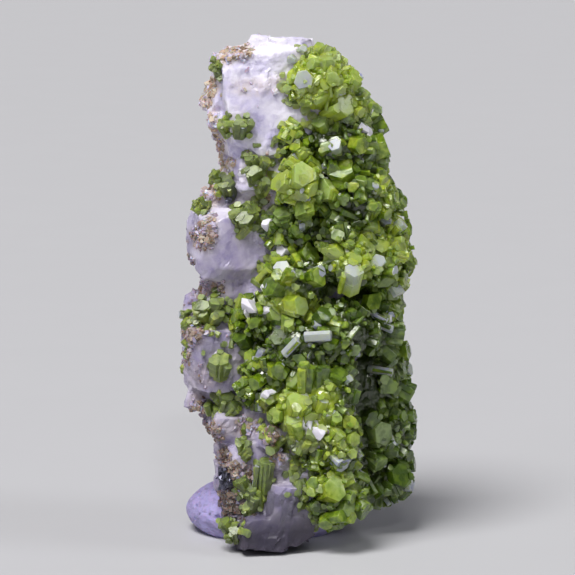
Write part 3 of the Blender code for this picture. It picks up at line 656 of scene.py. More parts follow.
def lobe_depth(lobe, place):
    """Say how deep a place lies in a swelling: under 1 is inside it."""
    offset = place - lobe_centre(lobe)
    size = lobe_size(lobe)
    return math.sqrt(sum((offset[i] / size[i]) ** 2 for i in range(3)))


def crust_hit(px, py):
    """Give the first place where the view at a pixel meets a swelling."""
    start = view_point(px, py)
    ahead = view_direction()
    nearest = None
    for lobe in LOBES:
        size = lobe_size(lobe)
        offset = start - lobe_centre(lobe)
        slope = [ahead[i] / size[i] for i in range(3)]
        place = [offset[i] / size[i] for i in range(3)]
        a = sum(s * s for s in slope)
        b = sum(s * p for s, p in zip(slope, place))
        c = sum(p * p for p in place) - 1.0
        inside = b * b - a * c
        if inside > 0.0:
            travel = (-b - math.sqrt(inside)) / a
            if nearest is None or travel < nearest:
                nearest = travel
    return None if nearest is None else start + ahead * nearest


def leaning(lean, toward):
    """Give the axis of a crystal that leans to the right and to the viewer."""
    lean = math.radians(lean)
    toward = math.radians(toward)
    flat = math.cos(toward)
    return Vector((flat * math.sin(lean), -math.sin(toward), flat * math.cos(lean)))


def lobe_sites(rock, seed, spacing, widths, prouds, root, tilt_limit):
    """Spread crystals evenly over the open side of every swelling."""
    draws = random.Random(seed)
    sites = []
    for number, lobe in enumerate(LOBES):
        centre = lobe_centre(lobe)
        size = lobe_size(lobe)
        middle = (size.x + size.y + size.z) / 3
        count = int(4 * math.pi * middle ** 2 / spacing ** 2)
        for step in range(count):
            rise = 1.0 - 2.0 * (step + 0.5) / count
            angle = step * math.pi * (3.0 - math.sqrt(5.0)) + number
            flat = math.sqrt(1.0 - rise * rise)
            facing = Vector((flat * math.cos(angle), flat * math.sin(angle), rise))
            facing += Vector([draws.uniform(-CRYSTAL_SCATTER, CRYSTAL_SCATTER) for _ in range(3)])
            facing.normalize()
            tilt = Vector([draws.gauss(0.0, 1.0) for _ in range(3)])
            amount = draws.random() * math.tan(tilt_limit)
            width = draws.uniform(*widths)
            proud = draws.uniform(*prouds)
            turn = draws.uniform(0.0, math.pi)
            place = centre + Vector([facing[i] * size[i] for i in range(3)])
            normal = Vector([facing[i] / size[i] for i in range(3)]).normalized()
            axis = (normal + tilt.normalized() * amount).normalized()
            cap = place + axis * proud
            if is_open(place, normal, lobe, rock):
                sites.append((cap, axis, width, proud + root, turn))
    return sites


def is_open(place, normal, lobe, rock):
    """Say whether a place on a swelling is clear of the rock and its neighbours."""
    if any(lobe_depth(other, place) < FREE_OF_LOBES for other in LOBES if other is not lobe):
        return False
    found, facing, _, distance = rock.find_nearest(place)
    outside = (place - found).dot(facing) > 0.0
    return outside and distance > FREE_OF_ROCK and rock.ray_cast(place, normal, FREE_AHEAD)[0] is None


def named_crystals():
    """Give the crust's single crystals, each rooted where the view meets it."""
    sites = []
    for number, crystal in enumerate(CRUST_CRYSTALS):
        place = crust_hit(crystal.px, crystal.py)
        if place is None:
            place = nearest_rim(crystal)
        axis = leaning(crystal.lean, crystal.toward)
        cap = place - view_direction() * crystal.proud
        sites.append((cap, axis, crystal.width, crystal.length, number * 0.4))
    return sites


def nearest_rim(crystal):
    """Step inward from a pixel beside the crust until the view meets it."""
    for step in range(1, 200):
        place = crust_hit(crystal.px - step * 0.5, crystal.py)
        if place is not None:
            outward = Vector((step * 0.5 / PIXELS_PER_MM, 0.0, 0.0))
            return place + outward
    raise ValueError("a crystal lies nowhere near the crust")


def without_crowding(sites, first):
    """Leave out the sites that stand where a chosen crystal already is."""
    kept = []
    for site in sites:
        near = [other for other in first if (site[0] - other[0]).length < (site[2] + other[2]) * CROWDED]
        if not near:
            kept.append(site)
    return kept


def broad_sites(rock):
    """Give the broad crystals of the crust, standing where those of the solids do."""
    chosen = named_crystals()
    spread = lobe_sites(
        rock, CRYSTAL_SEED, CRYSTAL_SPACING, CRYSTAL_WIDTH, CRYSTAL_PROUD, CRYSTAL_ROOT, CRYSTAL_TILT)
    draws = random.Random(CRYSTAL_SEED)
    slim = []
    for cap, axis, width, length, turn in without_crowding(spread, chosen):
        slim.append((cap, axis, width * draws.uniform(*BROAD_SHARE), length, turn))
    return chosen + out_of_hollows(slim, CRYSTAL_SEED)


def front_cluster(crystals, rock):
    """Root a front cluster's crystals where the view meets the rock."""
    found = []
    for number, crystal in enumerate(crystals):
        start = view_point(crystal.px, crystal.py) - view_direction() * 40.0
        place, facing, _, _ = rock.ray_cast(start, view_direction())
        if place is None:
            place, facing, _, _ = rock.find_nearest(at_depth(crystal.px, crystal.py, 0.0))
        axis = leaning(crystal.lean, crystal.toward)
        cap = place + (axis + facing) * 0.5 * (crystal.proud + GAP)
        found.append((cap, axis, crystal.width, crystal.length, number * 0.5, place, facing))
    return found


def back_cluster(places, rock):
    """Root a back cluster's crystals where a look from behind meets the rock."""
    found = []
    for number, (x, z) in enumerate(places):
        place, facing, _, _ = rock.ray_cast(Vector((x, 60.0, z)), Vector((0.0, -1.0, 0.0)))
        swing = Vector((math.cos(number * 2.4), 0.0, math.sin(number * 2.4))) * 0.5
        axis = (facing + swing).normalized()
        cap = place + axis * (BACK_CRYSTAL_PROUD + GAP)
        found.append((cap, axis, BACK_CRYSTAL_WIDTH, BACK_CRYSTAL_LENGTH, number * 0.5, place, facing))
    return found


def coordinates(mesh):
    """Give the places of a mesh's vertices as an array."""
    places = np.empty(len(mesh.vertices) * 3, np.float32)
    mesh.vertices.foreach_get("co", places)
    return places.reshape(-1, 3).astype(float)


def normals(mesh):
    """Give the directions in which a mesh's vertices face as an array."""
    facings = np.empty(len(mesh.vertices) * 3, np.float32)
    mesh.vertex_normals.foreach_get("vector", facings)
    return facings.reshape(-1, 3).astype(float)


def set_coordinates(mesh, places):
    """Move a mesh's vertices to the places of an array."""
    mesh.vertices.foreach_set("co", places.astype(np.float32).ravel())
    mesh.update()


def set_values(mesh, name, columns):
    """Give a mesh's vertices four named values each, as one colour attribute."""
    attribute = mesh.attributes.get(name) or mesh.attributes.new(name, "FLOAT_COLOR", "POINT")
    attribute.data.foreach_set("color", np.column_stack(columns).astype(np.float32).ravel())


def table_mesh(node):
    """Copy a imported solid, merged and in the millimetres of the tables."""
    bm = bmesh.new()
    bm.from_mesh(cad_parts[node].data)
    bmesh.ops.scale(bm, vec=(1 / MM, 1 / MM, 1 / MM), verts=bm.verts)
    bmesh.ops.translate(bm, vec=-SHIFT, verts=bm.verts)
    bmesh.ops.remove_doubles(bm, verts=bm.verts, dist=TINY)
    mesh = bpy.data.meshes.new("form")
    bm.to_mesh(mesh)
    bm.free()
    return mesh


def rock_tree():
    """Give the rock's surface in a form that rays can be cast at."""
    bm = bmesh.new()
    bm.from_mesh(table_mesh("quartz_matrix"))
    tree = BVHTree.FromBMesh(bm)
    bm.free()
    return tree


def remeshed(mesh, step):
    """Rebuild a closed mesh as even small faces of one size."""
    item = bpy.data.objects.new("form", mesh)
    bpy.context.scene.collection.objects.link(item)
    even = item.modifiers.new("even", "REMESH")
    even.mode = "VOXEL"
    even.voxel_size = step
    graph = bpy.context.evaluated_depsgraph_get()
    result = bpy.data.meshes.new_from_object(item.evaluated_get(graph))
    bpy.data.objects.remove(item, do_unlink=True)
    return result


def new_mesh(bm):
    """Turn a working mesh into mesh data, and free it."""
    mesh = bpy.data.meshes.new("form")
    bm.to_mesh(mesh)
    bm.free()
    return mesh


def add_piece(name, mesh, material, slot, *replaced):
    """Put a finished mesh, in table millimetres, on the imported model."""
    places = (coordinates(mesh) + np.array(SHIFT)) * MM
    low, high = (np.array(corner) for corner in CAD_BOX)
    set_coordinates(mesh, np.clip(places, low, high))
    mesh.name = name
    mesh.materials.clear()
    mesh.materials.append(material)
    piece = bpy.data.objects.new(name, mesh)
    bpy.context.scene.collection.objects.link(piece)
    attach(piece, "root")
    if replaced:
        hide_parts(*replaced)
    return piece


def patch_strength(patches, px, py):
    """Say how strongly patches of the front view colour the places seen at pixels."""
    strength = np.zeros(len(px))
    for patch in patches:
        reach = np.hypot((px - patch.px) / patch.across, (py - patch.py) / patch.up)
        share = np.clip(1.5 - reach, 0.0, 1.0)
        strength = np.maximum(strength, share * share * (3.0 - 2.0 * share) * patch.strength)
    return strength


def soft_noise(places, size, seed=0.0):
    """Give smooth noise between about -1 and 1 at an array of places."""
    offset = Vector((seed, seed * 0.7, seed * 1.3))
    return np.array([noise.noise(Vector(place) / size + offset) for place in places])


def scooped_relief(places, relief):
    """Give the height of shallow scoops that meet in ridges, as on broken quartz."""
    heights = np.empty(len(places))
    leans = {}
    for number, place in enumerate(places):
        spot = Vector(place) / relief.size
        scoops = []
        for away, cell in zip(*noise.voronoi(spot)):
            key = tuple(cell)
            if key not in leans:
                leans[key] = Vector([noise.noise(cell * 5.1 + Vector((9.0 * way, 0.0, 0.0))) for way in range(3)])
            scoops.append((spot - cell).dot(leans[key]) * relief.tilt + away * away * relief.hollow)
        heights[number] = min(scoops) * relief.size
    return heights


def slice_off(bm, place, facing):
    """Cut away what lies beyond a plane and close the flat that is left."""
    geometry = bm.verts[:] + bm.edges[:] + bm.faces[:]
    cut = bmesh.ops.bisect_plane(
        bm, geom=geometry, dist=TINY, plane_co=place, plane_no=facing, clear_outer=True)
    edges = [part for part in cut["geom_cut"] if isinstance(part, bmesh.types.BMEdge)]
    if edges:
        bmesh.ops.holes_fill(bm, edges=edges)


def crystal_form(seed, chamfer, hollow, rounding):
    """Cut a unit crystal out of a block: cap on the origin, root one unit below it."""
    draws = random.Random(seed)
    bm = bmesh.new()
    bmesh.ops.create_cube(bm, size=1.0)
    bmesh.ops.scale(bm, vec=(3.0, 3.0, 1.0), verts=bm.verts)
    bmesh.ops.translate(bm, vec=(0.0, 0.0, -0.5), verts=bm.verts)
    for side in range(PRISM_SIDES):
        angle = (side + draws.uniform(-SIDE_SWING, SIDE_SWING)) * 2.0 * math.pi / PRISM_SIDES
        reach = draws.uniform(*SIDE_REACH)
        way = Vector((math.cos(angle), math.sin(angle), 0.0))
        slice_off(bm, way * reach, way + Vector((0.0, 0.0, draws.uniform(*SIDE_SLOPE))))
        share = chamfer * draws.uniform(0.3, 1.7)
        if share > 0.04:
            slice_off(bm, way * (reach - share), way + Vector((0.0, 0.0, draws.uniform(*POINT_SLOPE))))
    cap_way = Vector((draws.gauss(0.0, CAP_TILT), draws.gauss(0.0, CAP_TILT), 1.0))
    slice_off(bm, Vector((0.0, 0.0, -0.02)), cap_way)
    if hollow:
        rim = max(bm.faces, key=lambda face: face.calc_center_median().z)
        bmesh.ops.inset_region(bm, faces=[rim], thickness=abs(hollow), depth=0.0)
        bmesh.ops.inset_region(bm, faces=[rim], thickness=0.10, depth=-0.06 if hollow > 0.0 else 0.05)
    if rounding:
        edges = [edge for edge in bm.edges if max(vert.co.z for vert in edge.verts) > -0.9]
        bmesh.ops.bevel(
            bm, geom=edges, offset=rounding, offset_type="OFFSET", affect="EDGES", segments=1,
            profile=0.5, material=-1)
    bmesh.ops.triangulate(bm, faces=bm.faces)
    bmesh.ops.recalc_face_normals(bm, faces=bm.faces)
    mesh = new_mesh(bm)
    places = coordinates(mesh)
    cap_share = np.where(places[:, 2] > -0.10, 1.0, np.where(places[:, 2] > -0.40, 0.08, 0.0))
    set_values(mesh, "growth", [cap_share] * 4)
    set_values(mesh, "own", [cap_share] * 4)
    return mesh, places, cap_share


def crystal_forms():
    """Model the forms that every crystal of the crust is a copy of."""
    sharp = [crystal_form(seed, 0.0, 0.0, 0.022) for seed in range(0, 10)]
    chipped = [crystal_form(seed, 0.07, 0.0, 0.022) for seed in range(10, 17)]
    pointed = [crystal_form(seed, 0.20, 0.0, 0.03) for seed in range(17, 20)]
    stepped = [crystal_form(20, 0.0, 0.24, 0.0), crystal_form(21, 0.04, 0.32, 0.0)]
    raised = [crystal_form(22, 0.0, -0.22, 0.0)]
    return sharp + chipped + pointed + stepped + raised


def grain_crystal_forms():
    """Model the plainer forms that the smallest crystals are copies of."""
    return [crystal_form(seed, 0.05, 0.0, 0.0) for seed in range(30, 38)]


def plant(bm, form, site, tone, pale, stretch=1.0):
    """Add one crystal to a working mesh; pale above 1 makes it white all along, a painted highlight."""
    mesh, unit, cap_share = form
    # Pale above 1: a painted highlight, the whole prism white.
    if pale > 1.0:
        cap_share = np.ones(len(unit))
    cap, axis, width, length, turn = site[:5]
    radius = width / 2
    deep = length / radius
    places = unit.copy()
    lower = places[:, 2] < -SHOULDER
    fall = (places[lower, 2] + SHOULDER) / (1.0 - SHOULDER)
    places[lower, 2] = fall * (deep - SHOULDER) - SHOULDER
    places[:, 0] *= stretch
    own = places * radius + np.array(cap) * OWN_OFFSET
    upright = Vector((0.0, 0.0, 1.0)).rotation_difference(axis).to_matrix()
    matrix = np.array(upright @ Matrix.Rotation(turn, 3, "Z")) * radius
    places = places @ matrix.T + np.array(cap)
    mesh.vertices.foreach_set("co", places.astype(np.float32).ravel())
    count = len(places)
    set_values(mesh, "growth", [np.ones(count), cap_share, np.full(count, tone), np.full(count, min(1.0, pale))])
    set_values(mesh, "own", [*own.T, np.zeros(count)])
    bm.from_mesh(mesh)


def lobe_reaches(place):
    """Give how far a place lies from each swelling, nearest first: 1 is on its skin."""
    offsets = (np.array(place) - LOBE_CENTRES) / LOBE_SIZES
    return np.sort(np.sqrt((offsets ** 2).sum(axis=1)))


def tone_light_and_shade(place, draws):
    """Give a crystal's brightness from where it grows, 0 deep and 1 bright: a patchy tone of its own, with painted
    light on the lit masses and painted shade in the hollows, the shaded patches, towards the lower right and where
    swellings meet.
    """
    px, py = seen_at(np.array([place]))
    lit = patch_strength(YELLOW_AND_LIT_PATCHES, px, py)[0]
    dim = patch_strength(HOLLOW_SHADE_PATCHES, px, py)[0] + 0.6 * patch_strength(PAINTED_SHADE_PATCHES, px, py)[0]
    right = (px[0] - 330.0) / 90.0
    low = (py[0] - 300.0) / 260.0
    patchy = noise.noise(place / 6.0)
    edge = max(0.0, right) * max(0.0, low)
    meeting = max(0.0, 1.0 - (lobe_reaches(place)[1] - 1.0) / MEETING_REACH)
    # Painted light from the lit patches; painted shade from the hollows, the shaded patches, towards the right and the
    # bottom, and where swellings meet; the noise and the draw are the crystals' own tone.
    tone = 0.37 - 0.12 * right - 0.10 * low - 0.5 * edge + 0.3 * patchy + 0.75 * lit - 0.8 * dim
    return min(1.0, max(0.0, tone - MEETING_SHADE * meeting + draws.gauss(0.0, 0.2)))


def place_pale(place, draws):
    """Give how frosted a crystal's end is: most are a little, those under painted light more, and a few are white as a
    painted highlight.
    """
    px, py = seen_at(np.array([place]))
    lit = patch_strength(YELLOW_AND_LIT_PATCHES, px, py)[0]
    chance = draws.random()
    # A few ends are white: painted highlights in place of glints.
    if chance < 0.04:
        return 1.0
    usual = draws.uniform(0.35, 0.70) if chance < 0.40 else draws.uniform(0.0, 0.25)
    return min(0.88, usual + 0.5 * lit)


def grow(bm, forms, sites, seed, frosted=(), dim=0.0):
    """Add a crystal at every site; the frosted ones have white ends, a painted highlight."""
    draws = random.Random(seed)
    for number, site in enumerate(sites):
        form = forms[draws.randrange(len(forms))]
        stretch = draws.uniform(0.84, 1.16)
        tone = max(0.0, tone_light_and_shade(site[0], draws) - dim)
        pale = place_pale(site[0], draws)
        # Listed crystals get white ends or are white all along: painted highlights in place of glints.
        if number in frosted:
            pale = 1.2 if number in PAINTED_GLINT_ALONG else 1.0
        plant(bm, form, site, tone, pale, stretch)


def painted_shade_by_depth(mesh):
    """Paint shade into a crust mesh towards the swellings that its crystals stand on, as in the gaps between crystals.
    """
    places = coordinates(mesh)
    clear = np.full(len(places), 10.0)
    for centre, size in zip(LOBE_CENTRES, LOBE_SIZES):
        reach = np.sqrt((((places - centre) / size) ** 2).sum(axis=1))
        clear = np.minimum(clear, (reach - 1.0) * size.mean())
    values = np.empty(len(places) * 4, np.float32)
    mesh.attributes["growth"].data.foreach_get("color", values)
    values = values.reshape(-1, 4)
    set_values(mesh, "growth", [np.clip((clear + 0.35) / 1.5, 0.0, 1.0), *values.T[1:]])
    return mesh


def side_prisms(sites, seed, number_each):
    """Give narrower prisms that grew along the sides of broad ones."""
    draws = random.Random(seed)
    found = []
    for cap, axis, width, length, turn in (site[:5] for site in sites):
        across = axis.orthogonal().normalized()
        for _ in range(draws.randint(*number_each)):
            angle = draws.uniform(0.0, 2.0 * math.pi)
            way = Matrix.Rotation(angle, 3, axis) @ across
            small = width * draws.uniform(0.34, 0.62)
            out = width * draws.uniform(0.26, 0.46)
            rise = width * draws.uniform(-0.26, 0.05)
            lean = (axis + way * draws.uniform(-0.05, 0.22)).normalized()
            found.append((cap + way * out + axis * rise, lean, small, length * 0.8, turn + draws.uniform(-0.1, 0.1)))
    return found


def hollow_share(places):
    """Say how far places lie in the crust's dark hollows, from 0 to 1."""
    return patch_strength(HOLLOW_SHADE_PATCHES, *seen_at(places)) * (places[:, 1] < HOLLOWS_END)


def out_of_hollows(sites, seed):
    """Leave out most of the crystals in the crust's hollows and sink the others."""
    draws = random.Random(seed)
    dim = hollow_share(np.array([site[0] for site in sites]))
    kept = []
    for site, share in zip(sites, dim):
        if draws.random() > share * HOLLOW_SHARE:
            kept.append((site[0] + view_direction() * HOLLOW_DEPTH * float(share), *site[1:]))
    return kept


def free_sites(sites, broad, on_caps, seed):
    """Leave out the small crystals that broad ones swallow or carry."""
    draws = random.Random(seed)
    caps = np.array([site[0] for site in broad])
    axes = np.array([site[1] for site in broad])
    radii = np.array([site[2] / 2 for site in broad])
    kept = []
    for site in sites:
        offset = np.array(site[0]) - caps
        along = np.sum(offset * axes, axis=1)
        away = np.linalg.norm(offset - along[:, None] * axes, axis=1)
        buried = np.any((away < radii * 0.92) & (along < 0.05) & (along > -3.5))
        above = np.any((away < radii * 0.85) & (along >= 0.05) & (along < 1.4))
        carried = draws.random() < on_caps
        if not buried and (carried or not above):
            kept.append(site)
    return kept


def border_sites(rock_mesh, seed, count):
    """Scatter small crystals on the rock where it meets the crust and in its druse."""
    draws = random.Random(seed)
    places = coordinates(rock_mesh) / MM - np.array(SHIFT)
    facings = normals(rock_mesh)
    druse = patch_strength(DRUSE_PATCHES, *seen_at(places)) * (places[:, 1] < DRUSE_END)
    found = []
    for _ in range(count):
        number = draws.randrange(len(places))
        width = draws.uniform(0.4, 0.9) * draws.uniform(1.0, 1.7)
        tilt = Vector([draws.gauss(0.0, 0.5) for _ in range(3)])
        turn = draws.uniform(0.0, math.pi)
        chance = draws.random()
        reach = lobe_reaches(places[number])[0]
        beside = 1.0 < reach < 1.0 + BORDER_REACH * chance
        if beside or (reach > 1.0 and chance < druse[number] * DRUSE_SHARE):
            axis = (Vector(facings[number]) + tilt).normalized()
            cap = Vector(places[number]) + axis * width * draws.uniform(0.2, 0.7)
            found.append((cap, axis, width, width * 1.6, turn))
    return found


def socket(tree, name, kind, way, default=None):
    """Add one named input or output to a node group."""
    made = tree.interface.new_socket(name=name, in_out=way, socket_type=kind)
    if default is not None:
        made.default_value = default
    return made


def node(tree, kind, **values):
    """Add a node with its settings, and give it back."""
    made = tree.nodes.new(kind)
    for key, value in values.items():
        setattr(made, key, value)
    return made


def join(tree, source, target):
    """Link an output socket to an input socket."""
    tree.links.new(source, target)


def fine_grain_group():
    """Make the group that gives grain: a height for bump and a mask of specks."""
    name = "Fine grain"
    if name in bpy.data.node_groups:
        return bpy.data.node_groups[name]
    tree = bpy.data.node_groups.new(name, "ShaderNodeTree")
    socket(tree, "Grain size", "NodeSocketFloat", "INPUT", 1.0)
    socket(tree, "Speck size", "NodeSocketFloat", "INPUT", 1.0)
    socket(tree, "Speck share", "NodeSocketFloat", "INPUT", 0.3)
    socket(tree, "Height", "NodeSocketFloat", "OUTPUT")
    socket(tree, "Cloud", "NodeSocketFloat", "OUTPUT")
    socket(tree, "Specks", "NodeSocketFloat", "OUTPUT")
    given = node(tree, "NodeGroupInput")
    result = node(tree, "NodeGroupOutput")
    place = node(tree, "ShaderNodeTexCoord")
    grain_scale = node(tree, "ShaderNodeMath", operation="DIVIDE")
    grain_scale.inputs[0].default_value = 1.0
    join(tree, given.outputs["Grain size"], grain_scale.inputs[1])
    speck_scale = node(tree, "ShaderNodeMath", operation="DIVIDE")
    speck_scale.inputs[0].default_value = 1.0
    join(tree, given.outputs["Speck size"], speck_scale.inputs[1])
    grain = node(tree, "ShaderNodeTexNoise")
    grain.inputs["Detail"].default_value = 5.0
    grain.inputs["Roughness"].default_value = 0.62
    join(tree, place.outputs["Object"], grain.inputs["Vector"])
    join(tree, grain_scale.outputs[0], grain.inputs["Scale"])
    cloud = node(tree, "ShaderNodeTexNoise")
    cloud.inputs["Detail"].default_value = 3.0
    cloud_scale = node(tree, "ShaderNodeMath", operation="MULTIPLY")
    cloud_scale.inputs[1].default_value = 0.22
    join(tree, grain_scale.outputs[0], cloud_scale.inputs[0])
    join(tree, place.outputs["Object"], cloud.inputs["Vector"])
    join(tree, cloud_scale.outputs[0], cloud.inputs["Scale"])
    specks = node(tree, "ShaderNodeTexVoronoi")
    join(tree, place.outputs["Object"], specks.inputs["Vector"])
    join(tree, speck_scale.outputs[0], specks.inputs["Scale"])
    ring = node(tree, "ShaderNodeMapRange", clamp=True)
    ring.inputs["From Min"].default_value = 0.20
    ring.inputs["From Max"].default_value = 0.10
    join(tree, specks.outputs["Distance"], ring.inputs["Value"])
    chosen = node(tree, "ShaderNodeSeparateColor")
    join(tree, specks.outputs["Color"], chosen.inputs[0])
    few = node(tree, "ShaderNodeMath", operation="LESS_THAN")
    join(tree, chosen.outputs[0], few.inputs[0])
    join(tree, given.outputs["Speck share"], few.inputs[1])
    mask = node(tree, "ShaderNodeMath", operation="MULTIPLY")
    join(tree, ring.outputs[0], mask.inputs[0])
    join(tree, few.outputs[0], mask.inputs[1])
    join(tree, grain.outputs["Fac"], result.inputs["Height"])
    join(tree, cloud.outputs["Fac"], result.inputs["Cloud"])
    join(tree, mask.outputs[0], result.inputs["Specks"])
    return tree


def new_material(name):
    """Give a new material with its node tree and its shader."""
    material = bpy.data.materials.new(name)
    material.use_nodes = True
    shader = material.node_tree.nodes["Principled BSDF"]
    return material, material.node_tree, shader


def grain_node(tree, grain_size, speck_size, speck_share):
    """Place the grain group in a material with its own sizes, in metres."""
    made = node(tree, "ShaderNodeGroup")
    made.node_tree = fine_grain_group()
    made.inputs["Grain size"].default_value = grain_size
    made.inputs["Speck size"].default_value = speck_size
    made.inputs["Speck share"].default_value = speck_share
    return made


def mix(tree, share, first, second, way="MIX"):
    """Mix two colours, each a socket or a plain value, and give the output."""
    made = node(tree, "ShaderNodeMix", data_type="RGBA", clamp_factor=True, blend_type=way)
    for value, target in ((share, made.inputs["Factor"]), (first, made.inputs["A"]), (second, made.inputs["B"])):
        feed(tree, value, target)
    return made.outputs["Result"]


def feed(tree, value, target):
    """Link a socket to an input, or set the input to a plain value."""
    if isinstance(value, bpy.types.NodeSocket):
        tree.links.new(value, target)
    elif isinstance(value, float):
        target.default_value = value
    else:
        target.default_value = (*value, 1.0)


def math_node(tree, operation, first, second):
    """Work out one number from two, each a socket or a plain value."""
    made = node(tree, "ShaderNodeMath", operation=operation, use_clamp=True)
    feed(tree, first, made.inputs[0])
    feed(tree, second, made.inputs[1])
    return made.outputs[0]


def ranged(tree, value, low, high, to_low, to_high):
    """Map a value from one span to another and keep it inside."""
    made = node(tree, "ShaderNodeMapRange", clamp=True)
    feed(tree, value, made.inputs["Value"])
    made.inputs["From Min"].default_value = low
    made.inputs["From Max"].default_value = high
    made.inputs["To Min"].default_value = to_low
    made.inputs["To Max"].default_value = to_high
    return made.outputs[0]


def bump(tree, shader, height, strength, distance):
    """Roughen a material's surface by a height."""
    made = node(tree, "ShaderNodeBump")
    made.inputs["Strength"].default_value = strength
    made.inputs["Distance"].default_value = distance
    join(tree, height, made.inputs["Height"])
    join(tree, made.outputs[0], shader.inputs["Normal"])


def pyromorphite_material(settings, name, dust):
    """Make the glassy yellow-green of the prisms, paler at their ends, with painted shade in their gaps and painted
    highlights where they are white.
    """
    material, tree, shader = new_material(name)
    deep, middle, bright, pale = (
        dusted(colour, dust) for colour in (settings.deep, settings.middle, settings.bright, settings.pale))
    grown = node(tree, "ShaderNodeAttribute", attribute_name="growth")
    parts = node(tree, "ShaderNodeSeparateColor")
    join(tree, grown.outputs["Color"], parts.inputs[0])
    own = node(tree, "ShaderNodeAttribute", attribute_name="own")
    veils = node(tree, "ShaderNodeTexNoise")
    veils.inputs["Scale"].default_value = 1.1
    veils.inputs["Detail"].default_value = 3.0
    join(tree, own.outputs["Vector"], veils.inputs["Vector"])
    along = node(tree, "ShaderNodeSeparateXYZ")
    join(tree, own.outputs["Vector"], along.inputs[0])
    lines = node(tree, "ShaderNodeTexNoise", noise_dimensions="1D")
    lines.inputs["Scale"].default_value = 5.0
    lines.inputs["Detail"].default_value = 3.0
    join(tree, along.outputs[2], lines.inputs["W"])
    grain = grain_node(tree, 0.0006, 0.0009, 0.15)
    shade = ranged(tree, veils.outputs["Fac"], 0.35, 0.65, -0.28, 0.28)
    tone = math_node(tree, "ADD", parts.outputs[2], shade)
    body = mix(tree, ranged(tree, tone, 0.0, 0.5, 0.0, 1.0), deep, middle)
    body = mix(tree, ranged(tree, tone, 0.5, 1.0, 0.0, 1.0), body, bright)
    frost = math_node(tree, "MULTIPLY", parts.outputs[1], ranged(tree, grown.outputs["Alpha"], 0.0, 0.9, 0.0, 0.9))
    frost = math_node(tree, "MULTIPLY", frost, ranged(tree, veils.outputs["Fac"], 0.35, 0.60, 0.5, 1.0))
    body = mix(tree, frost, body, pale)
    # White ends and prisms white all along: a painted highlight in place of glints.
    white = math_node(tree, "MULTIPLY", parts.outputs[1], ranged(tree, grown.outputs["Alpha"], 0.9, 1.0, 0.0, 0.85))
    body = mix(tree, white, body, (0.70, 0.74, 0.80))
    # Painted shade in the gaps between crystals, deepest towards the swellings, lighter where their tone is brighter.
    root = ranged(tree, parts.outputs[0], 0.05, 0.62, 0.92, 0.0)
    shade_in_gaps = mix(tree, ranged(tree, parts.outputs[2], 0.35, 1.0, 0.0, 1.0), settings.painted_gap_shade, middle)
    shade_in_gaps = mix(tree, ranged(tree, parts.outputs[2], 0.6, 1.0, 0.0, 0.85), shade_in_gaps, bright)
    join(tree, mix(tree, root, body, shade_in_gaps), shader.inputs["Base Color"])
    matt = math_node(tree, "MAXIMUM", math_node(tree, "MULTIPLY", frost, 0.5), white)
    join(tree, ranged(tree, matt, 0.0, 0.9, 0.10 + dust, 0.45 + dust), shader.inputs["Roughness"])
    shader.inputs["IOR"].default_value = 1.7
    shader.inputs["Specular IOR Level"].default_value = 0.35
    shader.inputs["Subsurface Weight"].default_value = 0.6
    shader.inputs["Subsurface Radius"].default_value = (0.9, 1.0, 0.15)
    shader.inputs["Subsurface Scale"].default_value = 0.0008
    shader.inputs["Transmission Weight"].default_value = 0.5
    relief = math_node(tree, "ADD", math_node(tree, "MULTIPLY", lines.outputs["Fac"], 0.5), grain.outputs["Height"])
    bump(tree, shader, relief, 0.6, 0.00012)
    return material


def dusted(colour, dust):
    """Give a colour as it looks under a share of grey-brown dust."""
    return tuple(part + (grey - part) * dust for part, grey in zip(colour, (0.36, 0.33, 0.24)))


def prism_material(settings):
    """Give the one material of the crust's crystals."""
    return shared_material("pyromorphite prisms", pyromorphite_material, settings, "pyromorphite prisms", 0.0)


def dusty_prism_material(settings):
    """Give the one material of the crystals that stand on the bare rock."""
    return shared_material("dusty prisms", pyromorphite_material, settings, "dusty prisms", 0.24)


def painted_shade_below(tree, colour, fresh):
    """Paint shade into a colour of the rock below its waist and again at its foot, where the light falls off, save
    where it is fresh.
    """
    place = node(tree, "ShaderNodeTexCoord")
    parts = node(tree, "ShaderNodeSeparateXYZ")
    join(tree, place.outputs["Object"], parts.inputs[0])
    shade_share = ranged(tree, fresh, 0.3, 0.8, 1.0, 0.0)
    below = math_node(tree, "MULTIPLY", shade_share, ranged(tree, parts.outputs[2], 0.0385, 0.0455, 1.0, 0.0))
    foot = math_node(tree, "MULTIPLY", shade_share, ranged(tree, parts.outputs[2], 0.0030, 0.0100, 1.0, 0.0))
    # Painted shade: greyer below the waist, much darker at the foot.
    colour = mix(tree, below, colour, (0.60, 0.58, 0.61), "MULTIPLY")
    return mix(tree, foot, colour, (0.10, 0.09, 0.12), "MULTIPLY")


